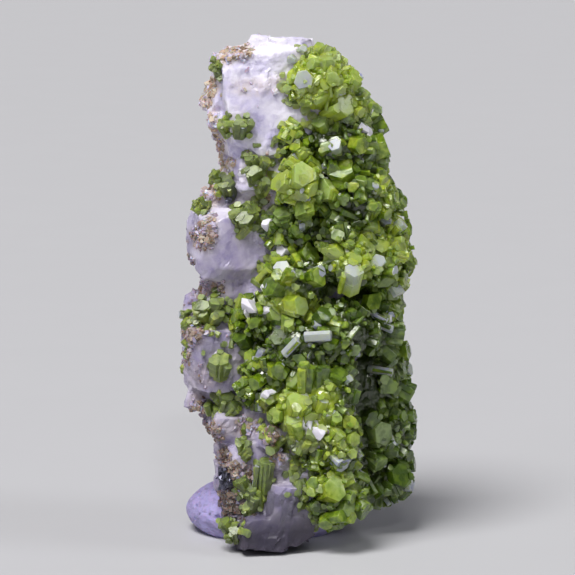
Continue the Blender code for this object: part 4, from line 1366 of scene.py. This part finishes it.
def rock_material(settings):
    """Make the milky quartz with its white, tan and speckled parts, and painted shade in its pits, below its waist and
    at its foot.
    """
    material, tree, shader = new_material("milky quartz")
    surface = node(tree, "ShaderNodeAttribute", attribute_name="surface")
    parts = node(tree, "ShaderNodeSeparateColor")
    join(tree, surface.outputs["Color"], parts.inputs[0])
    grain = grain_node(tree, 0.0007, 0.0011, 0.22)
    cloud = ranged(tree, grain.outputs["Cloud"], 0.40, 0.60, 0.0, 0.85)
    white = math_node(tree, "MAXIMUM", parts.outputs[1], cloud)
    body = mix(tree, white, settings.lavender, settings.white)
    sugar = ranged(tree, grain.outputs["Height"], 0.38, 0.60, 0.0, 0.35)
    body = mix(tree, sugar, body, settings.white)
    stain = math_node(tree, "MULTIPLY", parts.outputs[0], ranged(tree, grain.outputs["Height"], 0.34, 0.56, 0.25, 1.0))
    tan = mix(tree, ranged(tree, grain.outputs["Cloud"], 0.4, 0.6, 0.0, 1.0), settings.tan, (0.50, 0.38, 0.34))
    body = mix(tree, stain, body, tan)
    specks = math_node(tree, "MULTIPLY", grain.outputs["Specks"], ranged(tree, parts.outputs[0], 0.1, 0.6, 0.0, 0.8))
    body = mix(tree, specks, body, (0.09, 0.055, 0.03))
    # Painted shade in the deepest pits.
    body = mix(tree, surface.outputs["Alpha"], body, (0.05, 0.035, 0.03))
    # Painted shade below the waist and at the foot.
    body = painted_shade_below(tree, body, parts.outputs[1])
    join(tree, body, shader.inputs["Base Color"])
    join(tree, ranged(tree, parts.outputs[2], 0.0, 1.0, 0.62, 0.30), shader.inputs["Roughness"])
    shader.inputs["IOR"].default_value = 1.54
    shader.inputs["Subsurface Weight"].default_value = 0.5
    shader.inputs["Subsurface Radius"].default_value = (1.0, 0.95, 1.1)
    shader.inputs["Subsurface Scale"].default_value = 0.0012
    bump(tree, shader, grain.outputs["Height"], 0.55, 0.00016)
    return material


def grain_material(settings):
    """Make the small brown, tan and white grains of the rough crust."""
    material, tree, shader = new_material("tan grains")
    grown = node(tree, "ShaderNodeAttribute", attribute_name="growth")
    parts = node(tree, "ShaderNodeSeparateColor")
    join(tree, grown.outputs["Color"], parts.inputs[0])
    grain = grain_node(tree, 0.0003, 0.0006, 0.2)
    body = mix(tree, ranged(tree, parts.outputs[2], 0.0, 0.2, 0.0, 1.0), (0.16, 0.11, 0.07), settings.tan)
    body = mix(tree, ranged(tree, parts.outputs[2], 0.45, 0.7, 0.0, 1.0), body, settings.lavender)
    body = mix(tree, ranged(tree, parts.outputs[2], 0.6, 1.0, 0.0, 1.0), body, settings.white)
    body = mix(tree, ranged(tree, grain.outputs["Height"], 0.45, 0.6, 0.0, 0.4), body, (0.36, 0.27, 0.20))
    # Painted shade below the rock's waist and at its foot.
    join(tree, painted_shade_below(tree, body, parts.outputs[0]), shader.inputs["Base Color"])
    shader.inputs["Roughness"].default_value = 0.42
    shader.inputs["Subsurface Weight"].default_value = 0.3
    shader.inputs["Subsurface Scale"].default_value = 0.0005
    bump(tree, shader, grain.outputs["Height"], 0.4, 0.00008)
    return material


def clear_material():
    """Make the clear quartz."""
    material, tree, shader = new_material("clear quartz")
    grain = grain_node(tree, 0.0012, 0.001, 0.1)
    veil = ranged(tree, grain.outputs["Height"], 0.35, 0.65, 0.0, 1.0)
    join(tree, mix(tree, veil, (0.72, 0.70, 0.82), (0.56, 0.52, 0.68)), shader.inputs["Base Color"])
    join(tree, ranged(tree, veil, 0.0, 1.0, 0.08, 0.25), shader.inputs["Roughness"])
    shader.inputs["IOR"].default_value = 1.54
    shader.inputs["Transmission Weight"].default_value = 0.9
    bump(tree, shader, grain.outputs["Height"], 0.15, 0.00006)
    return material


def ore_material():
    """Make the dark metallic ore."""
    material, tree, shader = new_material("dark ore")
    grain = grain_node(tree, 0.0003, 0.0004, 0.2)
    shade = ranged(tree, grain.outputs["Height"], 0.35, 0.65, 0.0, 1.0)
    join(tree, mix(tree, shade, (0.05, 0.05, 0.07), (0.20, 0.20, 0.27)), shader.inputs["Base Color"])
    join(tree, ranged(tree, shade, 0.0, 1.0, 0.22, 0.5), shader.inputs["Roughness"])
    shader.inputs["Metallic"].default_value = 0.9
    bump(tree, shader, grain.outputs["Height"], 0.4, 0.00005)
    return material


def putty_material(settings):
    """Make the soft putty with its fine dark specks and brushed marks."""
    material, tree, shader = new_material("soft putty")
    grain = grain_node(tree, 0.0009, 0.0013, 0.35)
    place = node(tree, "ShaderNodeTexCoord")
    brushed = node(tree, "ShaderNodeMapping")
    brushed.inputs["Rotation"].default_value = (0.0, math.radians(35.0), 0.0)
    brushed.inputs["Scale"].default_value = (900.0, 900.0, 2600.0)
    join(tree, place.outputs["Object"], brushed.inputs["Vector"])
    marks = node(tree, "ShaderNodeTexNoise")
    marks.inputs["Scale"].default_value = 1.0
    marks.inputs["Detail"].default_value = 4.0
    join(tree, brushed.outputs[0], marks.inputs["Vector"])
    body = mix(
        tree, ranged(tree, grain.outputs["Cloud"], 0.35, 0.65, 0.0, 1.0),
        tuple(0.72 * part for part in settings.colour), settings.colour)
    body = mix(tree, ranged(tree, marks.outputs["Fac"], 0.50, 0.66, 0.0, 0.75), body, (0.20, 0.18, 0.30))
    body = mix(tree, ranged(tree, grain.outputs["Height"], 0.54, 0.68, 0.0, 0.6), body, (0.20, 0.17, 0.32))
    body = mix(tree, math_node(tree, "MULTIPLY", grain.outputs["Specks"], 0.7), body, (0.07, 0.06, 0.11))
    join(tree, body, shader.inputs["Base Color"])
    shader.inputs["Roughness"].default_value = 0.6
    shader.inputs["Subsurface Weight"].default_value = 0.2
    shader.inputs["Subsurface Scale"].default_value = 0.0008
    relief = math_node(tree, "ADD", math_node(tree, "MULTIPLY", marks.outputs["Fac"], 0.5), grain.outputs["Height"])
    bump(tree, shader, relief, 0.8, 0.00020)
    return material


def floor_material(settings):
    """Make the plain pale floor."""
    material, tree, shader = new_material("pale floor")
    grain = grain_node(tree, 0.004, 0.01, 0.0)
    lighter = tuple(min(1.0, 1.03 * part) for part in settings.floor_colour)
    join(tree, mix(tree, grain.outputs["Cloud"], settings.floor_colour, lighter), shader.inputs["Base Color"])
    shader.inputs["Roughness"].default_value = 0.55
    return material


def shared_material(name, maker, *values):
    """Give the named material, made the first time that it is asked for."""
    return bpy.data.materials.get(name) or maker(*values)


def dressed_rock(settings):
    """Give the rock's mesh with its broken relief and its surface values."""
    mesh = remeshed(table_mesh("quartz_matrix"), settings.mesh_step / MM)
    places = coordinates(mesh)
    px, py = seen_at(places)
    tan = patch_strength(TAN_PATCHES, px, py)
    white = patch_strength(WHITE_PATCHES, px, py)
    smooth = patch_strength(SMOOTH_PATCHES, px, py) * (1.0 - tan)
    patchy = soft_noise(places, 5.0, 3.0)
    behind = np.clip((places[:, 1] - 2.0) / 4.0, 0.0, 1.0)
    tan = np.maximum(tan * (1.0 - 0.6 * behind), np.clip(patchy * 2.2 - 0.25, 0.0, 0.8) * (0.25 + 0.75 * behind))
    rough = 1.0 - 0.72 * smooth
    heights = scooped_relief(places, LARGE_SCOOPS) * (1.0 - 0.6 * smooth) - 0.10
    heights += scooped_relief(places, SMALL_SCOOPS) * rough * (0.45 + 0.55 * tan) - 0.12 * rough
    heights += soft_noise(places, 0.62, 5.0) * 0.11 * rough
    heights -= np.clip(soft_noise(places, 0.9, 9.0) - 0.25, 0.0, 1.0) * (0.35 + 0.65 * tan) * rough
    heights -= np.clip((places[:, 2] - 62.6) / 1.6, 0.0, 1.0) * 0.25
    heights = np.clip(heights, *ROCK_RELIEF_LIMIT)
    moved = places + normals(mesh) * heights[:, None]
    moved[:, 2] = np.maximum(moved[:, 2], 0.0)
    set_coordinates(mesh, moved)
    # Painted shade in the deepest pits, most in the tan crust.
    dark = np.clip(-heights * 2.2 - 0.55, 0.0, 0.55) * (0.35 + 0.65 * tan)
    set_values(mesh, "surface", [tan, white, smooth, dark])
    return mesh


def make_rock(context):
    """Make the quartz that everything grew on."""
    settings = context.scene.specimen_rock
    mesh = dressed_rock(settings)
    material = shared_material("milky quartz", rock_material, settings)
    return add_piece("quartz_rock", mesh, material, "quartz", "quartz_matrix")


def chip_form(seed):
    """Cut one angular chip out of a block, its middle a third of a unit below its top."""
    draws = random.Random(seed)
    bm = bmesh.new()
    bmesh.ops.create_cube(bm, size=1.2)
    for _ in range(5):
        way = Vector([draws.gauss(0.0, 1.0) for _ in range(3)]).normalized()
        slice_off(bm, way * draws.uniform(0.36, 0.52), way)
    bmesh.ops.translate(bm, vec=(0.0, 0.0, -0.33), verts=bm.verts)
    bmesh.ops.triangulate(bm, faces=bm.faces)
    bmesh.ops.recalc_face_normals(bm, faces=bm.faces)
    mesh = new_mesh(bm)
    places = coordinates(mesh)
    share = np.zeros(len(places))
    set_values(mesh, "growth", [share] * 4)
    set_values(mesh, "own", [share] * 4)
    return mesh, places * 2.0, share


def plant_chip(bm, form, cap, axis, width, turn, tone, tall=1.0):
    """Add one chip of stone to a working mesh."""
    mesh, unit, share = form
    upright = Vector((0.0, 0.0, 1.0)).rotation_difference(axis).to_matrix()
    matrix = np.array(upright @ Matrix.Rotation(turn, 3, "Z")) * width / 2
    places = (unit * np.array((1.0, 1.0, tall))) @ matrix.T + np.array(cap)
    mesh.vertices.foreach_set("co", places.astype(np.float32).ravel())
    count = len(places)
    set_values(mesh, "growth", [share, share, np.full(count, tone), share])
    bm.from_mesh(mesh)


def make_grains(context):
    """Make the small grains that stand in the rock's tan and rough parts."""
    settings = context.scene.specimen_rock
    rock = bpy.data.objects["quartz_rock"].data
    places = coordinates(rock) / MM - np.array(SHIFT)
    facings = normals(rock)
    values = np.empty(len(places) * 4, np.float32)
    rock.attributes["surface"].data.foreach_get("color", values)
    tan, white, smooth, _ = values.reshape(-1, 4).T
    tan_share = np.clip((tan - 0.25) / 0.55, 0.0, 1.0) ** 1.3
    rough_share = 0.02 * (1.0 - smooth) * (1.0 - np.clip(white, 0.0, 1.0))
    draws = random.Random(41)
    forms = [chip_form(seed) for seed in range(60, 68)]
    usual = settings.grain_size / MM
    bm = bmesh.new()
    for _ in range(GRAIN_TRIES):
        number = draws.randrange(len(places))
        form = forms[draws.randrange(len(forms))]
        width = usual * draws.uniform(0.45, 1.25)
        tilt = Vector([draws.gauss(0.0, 0.5) for _ in range(3)])
        turn = draws.uniform(0.0, math.pi)
        tone = draws.uniform(0.0, 0.75) if draws.random() < tan_share[number] else draws.uniform(0.4, 1.0)
        if draws.random() < tan_share[number] * 0.85 + rough_share[number]:
            axis = (Vector(facings[number]) + tilt).normalized()
            cap = Vector(places[number]) + axis * width * draws.uniform(0.0, 0.3)
            plant_chip(bm, form, cap, axis, width, turn, tone)
    material = shared_material("tan grains", grain_material, settings)
    return add_piece("tan_grains", new_mesh(bm), material, "quartz")


def crust_place(px, py, proud, rock):
    """Give the place that the view at a pixel meets, on the crust or on the rock."""
    for step in range(80):
        start = view_point(px - step, py) - view_direction() * 40.0
        bare = rock.ray_cast(start, view_direction())[0]
        grown = crust_hit(px - step, py)
        if grown is not None:
            grown = grown - view_direction() * proud
        found = [place for place in (bare, grown) if place is not None]
        if found:
            return min(found, key=lambda place: place.y)
    raise ValueError("a chip of quartz lies nowhere near the specimen")


def make_chips(context):
    """Make the chips of white quartz that stand out between the crystals."""
    settings = context.scene.specimen_rock
    rock = rock_tree()
    draws = random.Random(81)
    forms = [chip_form(seed) for seed in range(70, 76)]
    bm = bmesh.new()
    for px, py, width in QUARTZ_CHIPS:
        place = crust_place(px, py, CHIP_PROUD, rock)
        for part in range(2):
            lean = Vector([draws.gauss(0.0, 0.6), -1.0, draws.uniform(0.0, 1.2)]).normalized()
            aside = Vector([draws.uniform(-0.5, 0.5) * width * part for _ in range(3)])
            wide = width * (draws.uniform(0.4, 0.7) if part else 1.0)
            form = forms[draws.randrange(len(forms))]
            plant_chip(bm, form, place + aside, lean, wide, draws.uniform(0.0, math.pi), 1.0, draws.uniform(1.0, 1.7))
    mesh = new_mesh(bm)
    count = len(mesh.vertices)
    set_values(mesh, "surface", [np.zeros(count), np.full(count, 0.9), np.full(count, 0.8), np.zeros(count)])
    material = shared_material("milky quartz", rock_material, settings)
    return add_piece("quartz_chips", mesh, material, "quartz")


def make_clear_quartz(context):
    """Make the clear facets at the foot of the rock."""
    rock = rock_tree()
    bm = bmesh.new()
    for number, crystal in enumerate(front_cluster(CLEAR_FACETS, rock)):
        cap, axis, width, length, _ = crystal[:5]
        cap = crystal[5] + crystal[6] * (CLEAR_FACETS[number].proud - 0.4 * width)
        form = crystal_form(40 + number, 0.16, 0.0, 0.03)
        plant(bm, form, (cap, axis, width, length, number * 0.7), 0.5, 0.0, 1.2)
    return add_piece("clear_quartz_facets", new_mesh(bm), shared_material("clear quartz", clear_material), "quartz")


def make_bed(context):
    """Make the floor of tiny crystals that the crust's larger ones stand on."""
    settings = context.scene.specimen_crystal
    bm = bmesh.new()
    for lobe in LOBES:
        made = bmesh.ops.create_icosphere(bm, subdivisions=3, radius=1.0)["verts"]
        bmesh.ops.scale(bm, vec=lobe_size(lobe) * 0.98, verts=made)
        bmesh.ops.translate(bm, vec=lobe_centre(lobe), verts=made)
    mesh = remeshed(new_mesh(bm), 0.36)
    places = coordinates(mesh)
    heights = 0.1 - scooped_relief(places, BED_RELIEF) + soft_noise(places, 1.6) * 0.15
    sunk = np.outer(hollow_share(places) * HOLLOW_DEPTH, np.array(view_direction()))
    set_coordinates(mesh, places + normals(mesh) * heights[:, None] + sunk)
    px, py = seen_at(places)
    # Painted light and painted shade from the patches, over a patchy tone of its own.
    lit = patch_strength(YELLOW_AND_LIT_PATCHES, px, py) - patch_strength(HOLLOW_SHADE_PATCHES, px, py)
    tone = np.clip(0.2 + 0.5 * soft_noise(places, 1.5, 4.0) + 0.7 * lit, 0.0, 1.0)
    # The low places get painted gap shade through the first growth value.
    share = np.clip(0.45 + heights, 0.0, 1.0)
    set_values(mesh, "growth", [share * 0.4, share * 0.3, tone, np.full(len(tone), 0.3)])
    material = prism_material(settings)
    return add_piece("crust_bed", mesh, material, "pyromorphite", "pyromorphite_crust")


def make_broad_crystals(context):
    """Make the crust's broad crystals with the narrow ones along their sides."""
    settings = context.scene.specimen_crystal
    sites = broad_sites(rock_tree())
    bm = bmesh.new()
    forms = crystal_forms()
    grow(bm, forms, sites, 17, PAINTED_GLINT_ENDS)
    grow(bm, forms, side_prisms(sites, 19, (2, 4)), 23)
    material = prism_material(settings)
    mesh = painted_shade_by_depth(new_mesh(bm))
    return add_piece("crust_broad_crystals", mesh, material, "pyromorphite", "pyromorphite_crust")


def make_small_crystals(context):
    """Make the crust's middle and small crystals, each set as one piece."""
    settings = context.scene.specimen_crystal
    tree = rock_tree()
    broad = broad_sites(tree)
    forms = crystal_forms()
    plain = grain_crystal_forms()
    material = prism_material(settings)
    middle = lobe_sites(
        tree, 51, settings.middle_spacing / MM, (0.9, 2.1), (0.1, 1.15), 1.6, math.radians(58.0))
    middle = out_of_hollows(free_sites(middle, broad, 0.15, 53), 54)
    bm = bmesh.new()
    grow(bm, forms, middle, 55)
    grow(bm, plain, side_prisms(middle, 57, (1, 3)), 59)
    mesh = painted_shade_by_depth(new_mesh(bm))
    add_piece("crust_middle_crystals", mesh, material, "pyromorphite", "pyromorphite_crust")
    small = lobe_sites(
        tree, 61, settings.small_spacing / MM, (0.35, 0.95), (0.1, 1.1), 1.0, math.radians(64.0))
    small = out_of_hollows(free_sites(small, broad, 0.25, 63), 64)
    bm = bmesh.new()
    grow(bm, plain, small, 65)
    mesh = painted_shade_by_depth(new_mesh(bm))
    return add_piece("crust_small_crystals", mesh, material, "pyromorphite", "pyromorphite_crust")


def make_border(context):
    """Make the small crystals scattered over the rock beside the crust."""
    settings = context.scene.specimen_crystal
    sites = border_sites(bpy.data.objects["quartz_rock"].data, 91, DRUSE_TRIES)
    bm = bmesh.new()
    grow(bm, grain_crystal_forms(), sites, 93)
    return add_piece("border_crystals", new_mesh(bm), dusty_prism_material(settings), "pyromorphite")


def make_clusters(context):
    """Make every separate cluster on the bare rock, front and back."""
    settings = context.scene.specimen_crystal
    tree = rock_tree()
    forms = crystal_forms()
    plain = grain_crystal_forms()
    material = dusty_prism_material(settings)
    groups = {name: front_cluster(crystals, tree) for name, crystals in CLUSTERS.items()}
    groups.update({name: back_cluster(places, tree) for name, places in BACK_CLUSTERS.items()})
    for number, (name, crystals) in enumerate(groups.items()):
        bm = bmesh.new()
        # The long prism's second crystal is white all along: a painted highlight.
        white = (1,) if name == "long_prism" else ()
        grow(bm, forms, [slimmer(crystal) for crystal in crystals], 100 + number, white, CLUSTER_DIM)
        grow(bm, forms, side_prisms(crystals, 200 + number, (4, 7)), 300 + number, (), CLUSTER_DIM)
        grow(bm, plain, foot_sites(crystals, 400 + number), 500 + number, (), CLUSTER_DIM)
        add_piece(name + "_crystals", new_mesh(bm), material, "pyromorphite", name)


def slimmer(site):
    """Give a cluster's crystal at the width that the finished one has."""
    return (*site[:2], site[2] * CLUSTER_SHARE, *site[3:])


def foot_sites(crystals, seed):
    """Give the small crystals round the foot of a cluster."""
    draws = random.Random(seed)
    found = []
    for crystal in crystals:
        _, axis, width, _, _, place, facing = crystal
        across = facing.orthogonal().normalized()
        for _ in range(FOOT_CRYSTALS):
            angle = draws.uniform(0.0, 2.0 * math.pi)
            way = Matrix.Rotation(angle, 3, facing) @ across
            small = draws.uniform(0.45, 1.0)
            foot = place + way * width * draws.uniform(0.45, 0.9)
            lean = (facing + way * draws.uniform(0.1, 0.8)).normalized()
            found.append((foot + lean * small * draws.uniform(0.3, 0.8), lean, small, small * 1.8, angle))
    return found


def make_ore(context):
    """Make the small group of dark cubes."""
    tree = rock_tree()
    draws = random.Random(71)
    bm = bmesh.new()
    for number, (px, py) in enumerate(ORE_PLACES):
        start = view_point(px, py) - view_direction() * 40.0
        place, facing, _, _ = tree.ray_cast(start, view_direction())
        for part in range(4):
            width = ORE_WIDTH * (1.0 if part == 0 else draws.uniform(0.35, 0.6))
            made = bmesh.ops.create_cube(bm, size=width)["verts"]
            turn = Euler((0.5 + number + part, 0.3 * number, 0.8 * number + part)).to_matrix()
            bmesh.ops.rotate(bm, cent=(0, 0, 0), matrix=turn, verts=made)
            aside = Vector([draws.uniform(-0.7, 0.7) * (part > 0) for _ in range(3)])
            bmesh.ops.translate(bm, vec=place + facing * (ORE_WIDTH * 0.35 + GAP * 0.6) + aside, verts=made)
    bmesh.ops.bevel(
        bm, geom=bm.edges[:], offset=0.05, offset_type="OFFSET", affect="EDGES", segments=1,
        profile=0.5, material=-1)
    material = shared_material("dark ore", ore_material)
    return add_piece("ore_cubes", new_mesh(bm), material, "lead_ore", "dark_ore_cubes")


def make_putty(context):
    """Make the lump of putty with its soft dents and small pits."""
    settings = context.scene.specimen_putty
    bm = bmesh.new()
    bmesh.ops.create_icosphere(bm, subdivisions=7, radius=1.0)
    half = Vector((PUTTY_WIDE / 2, PUTTY_DEEP / 2, PUTTY_TALL - PUTTY_BELOW))
    bmesh.ops.scale(bm, vec=half, verts=bm.verts)
    bmesh.ops.translate(bm, vec=(PUTTY_CENTRE[0], PUTTY_CENTRE[1], PUTTY_BELOW), verts=bm.verts)
    mesh = new_mesh(bm)
    places = coordinates(mesh)
    streaked = places * np.array((1.0, 1.0, 1.0)) + places[:, [2, 0, 0]] * np.array((0.8, 0.0, -0.8))
    heights = soft_noise(places, 6.0, 2.0) * 0.35 + soft_noise(places, 1.8, 7.0) * 0.12 - 0.15
    heights += soft_noise(streaked, 0.6, 9.0) * 0.05
    heights -= np.clip(soft_noise(places, 0.8, 12.0) - 0.42, 0.0, 1.0) * 1.8
    moved = places + normals(mesh) * heights[:, None]
    moved[:, 2] = np.maximum(moved[:, 2], 0.0)
    set_coordinates(mesh, moved)
    for polygon in mesh.polygons:
        polygon.use_smooth = True
    material = shared_material("soft putty", putty_material, settings)
    return add_piece("putty_lump", mesh, material, "putty", "putty_foot")


def area_light(name, place, aim, size, power, colour):
    """Add one soft light that shines at a point."""
    light = bpy.data.lights.new(name, "AREA")
    light.shape = "DISK"
    light.size = size
    light.energy = power
    light.color = colour
    item = bpy.data.objects.new(name, light)
    item.location = place
    item.rotation_euler = (aim - place).to_track_quat("-Z", "Y").to_euler()
    bpy.context.scene.collection.objects.link(item)


def sun_light(name, way, angle, strength, colour):
    """Add one broad light from far away."""
    light = bpy.data.lights.new(name, "SUN")
    light.angle = math.radians(angle)
    light.energy = strength
    light.color = colour
    item = bpy.data.objects.new(name, light)
    item.rotation_euler = (-way).to_track_quat("-Z", "Y").to_euler()
    bpy.context.scene.collection.objects.link(item)


def make_stage(context):
    """Make the pale floor, the soft lights, the pale surroundings and the camera."""
    settings = context.scene.specimen_stage
    bm = bmesh.new()
    bmesh.ops.create_circle(bm, cap_ends=True, segments=96, radius=settings.floor_radius)
    mesh = new_mesh(bm)
    mesh.materials.append(floor_material(settings))
    floor = bpy.data.objects.new("pale_floor", mesh)
    context.scene.collection.objects.link(floor)

    middle = (view_point(VIEW_MIDDLE, VIEW_MIDDLE) + SHIFT) * MM
    aim = Vector((0.0, 0.0, 0.034))
    sun_light("light_above", Vector((-0.24, -0.44, 0.86)), 28.0, 4.0, (1.0, 0.99, 0.97))
    sun_light("light_right", Vector((0.80, -0.20, 0.56)), 20.0, 0.7, (0.94, 0.95, 1.0))
    sun_light("light_sparkle", Vector((0.10, -0.80, 0.60)), 4.0, 0.35, (1.0, 1.0, 1.0))
    area_light("light_front_left", Vector((-0.30, -0.34, 0.16)), aim, 0.16, 0.20, (0.90, 0.88, 1.0))

    world = bpy.data.worlds.new("pale surroundings")
    world.use_nodes = True
    background = world.node_tree.nodes["Background"]
    background.inputs["Color"].default_value = (0.78, 0.78, 0.84, 1.0)
    background.inputs["Strength"].default_value = 0.14
    context.scene.world = world
    context.scene.view_settings.view_transform = "Standard"

    lens = bpy.data.cameras.new("camera")
    lens.sensor_width = 36.0
    lens.lens = 200.0
    lens.clip_start = 0.01
    lens.clip_end = 20.0
    camera = bpy.data.objects.new("camera", lens)
    camera.location = middle - view_direction() * settings.camera_distance
    camera.rotation_euler = view_direction().to_track_quat("-Z", "Y").to_euler()
    context.scene.collection.objects.link(camera)
    context.scene.camera = camera


class SPECIMEN_OT_rock(bpy.types.Operator):
    """Make the quartz that everything grew on"""

    bl_idname = "specimen.rock"
    bl_label = "Quartz rock"

    def execute(self, context):
        make_rock(context)
        return {"FINISHED"}


class SPECIMEN_OT_grains(bpy.types.Operator):
    """Make the small tan grains in the rock's rough parts"""

    bl_idname = "specimen.grains"
    bl_label = "Tan grains"

    def execute(self, context):
        make_grains(context)
        return {"FINISHED"}


class SPECIMEN_OT_chips(bpy.types.Operator):
    """Make the chips of white quartz between the crystals"""

    bl_idname = "specimen.chips"
    bl_label = "Quartz chips"

    def execute(self, context):
        make_chips(context)
        return {"FINISHED"}


class SPECIMEN_OT_clear_quartz(bpy.types.Operator):
    """Make the clear facets at the foot of the rock"""

    bl_idname = "specimen.clear_quartz"
    bl_label = "Clear quartz"

    def execute(self, context):
        make_clear_quartz(context)
        return {"FINISHED"}


class SPECIMEN_OT_bed(bpy.types.Operator):
    """Make the floor of tiny crystals under the crust"""

    bl_idname = "specimen.bed"
    bl_label = "Crust bed"

    def execute(self, context):
        make_bed(context)
        return {"FINISHED"}


class SPECIMEN_OT_broad_crystals(bpy.types.Operator):
    """Make the crust's broad crystals"""

    bl_idname = "specimen.broad_crystals"
    bl_label = "Broad crystals"

    def execute(self, context):
        make_broad_crystals(context)
        return {"FINISHED"}


class SPECIMEN_OT_small_crystals(bpy.types.Operator):
    """Make the crust's middle and small crystals"""

    bl_idname = "specimen.small_crystals"
    bl_label = "Small crystals"

    def execute(self, context):
        make_small_crystals(context)
        return {"FINISHED"}


class SPECIMEN_OT_border(bpy.types.Operator):
    """Make the small crystals scattered over the rock beside the crust"""

    bl_idname = "specimen.border"
    bl_label = "Border crystals"

    def execute(self, context):
        make_border(context)
        return {"FINISHED"}


class SPECIMEN_OT_clusters(bpy.types.Operator):
    """Make the separate clusters on the bare rock"""

    bl_idname = "specimen.clusters"
    bl_label = "Clusters"

    def execute(self, context):
        make_clusters(context)
        return {"FINISHED"}


class SPECIMEN_OT_ore(bpy.types.Operator):
    """Make the dark cubes of ore"""

    bl_idname = "specimen.ore"
    bl_label = "Ore cubes"

    def execute(self, context):
        make_ore(context)
        return {"FINISHED"}


class SPECIMEN_OT_putty(bpy.types.Operator):
    """Make the lump of putty"""

    bl_idname = "specimen.putty"
    bl_label = "Putty"

    def execute(self, context):
        make_putty(context)
        return {"FINISHED"}


class SPECIMEN_OT_stage(bpy.types.Operator):
    """Make the floor, the lights and the camera"""

    bl_idname = "specimen.stage"
    bl_label = "Stage"

    def execute(self, context):
        make_stage(context)
        return {"FINISHED"}


OPERATORS = (
    SPECIMEN_OT_stage,
    SPECIMEN_OT_rock,
    SPECIMEN_OT_grains,
    SPECIMEN_OT_chips,
    SPECIMEN_OT_clear_quartz,
    SPECIMEN_OT_bed,
    SPECIMEN_OT_broad_crystals,
    SPECIMEN_OT_small_crystals,
    SPECIMEN_OT_border,
    SPECIMEN_OT_clusters,
    SPECIMEN_OT_ore,
    SPECIMEN_OT_putty,
)


class SPECIMEN_PT_panel(bpy.types.Panel):
    """List what the specimen is made of"""

    bl_idname = "SPECIMEN_PT_panel"
    bl_label = "Pyromorphite specimen"
    bl_space_type = "VIEW_3D"
    bl_region_type = "UI"
    bl_category = "Specimen"

    def draw(self, context):
        for operator in OPERATORS:
            self.layout.operator(operator.bl_idname)


SETTINGS = {
    "specimen_rock": RockSettings,
    "specimen_crystal": CrystalSettings,
    "specimen_putty": PuttySettings,
    "specimen_stage": StageSettings,
}


def register():
    """Register the settings, the operators and the panel."""
    for name, group in SETTINGS.items():
        bpy.utils.register_class(group)
        setattr(bpy.types.Scene, name, PointerProperty(type=group))
    for operator in OPERATORS:
        bpy.utils.register_class(operator)
    bpy.utils.register_class(SPECIMEN_PT_panel)


def unregister():
    """Take the panel, the operators and the settings away again."""
    bpy.utils.unregister_class(SPECIMEN_PT_panel)
    for operator in reversed(OPERATORS):
        bpy.utils.unregister_class(operator)
    for name, group in reversed(SETTINGS.items()):
        delattr(bpy.types.Scene, name)
        bpy.utils.unregister_class(group)


def main():
    """Build the whole specimen."""
    register()
    bpy.ops.specimen.stage()
    bpy.ops.specimen.rock()
    bpy.ops.specimen.grains()
    bpy.ops.specimen.chips()
    bpy.ops.specimen.clear_quartz()
    bpy.ops.specimen.bed()
    bpy.ops.specimen.broad_crystals()
    bpy.ops.specimen.small_crystals()
    bpy.ops.specimen.border()
    bpy.ops.specimen.clusters()
    bpy.ops.specimen.ore()
    bpy.ops.specimen.putty()


if __name__ == "__main__":
    main()
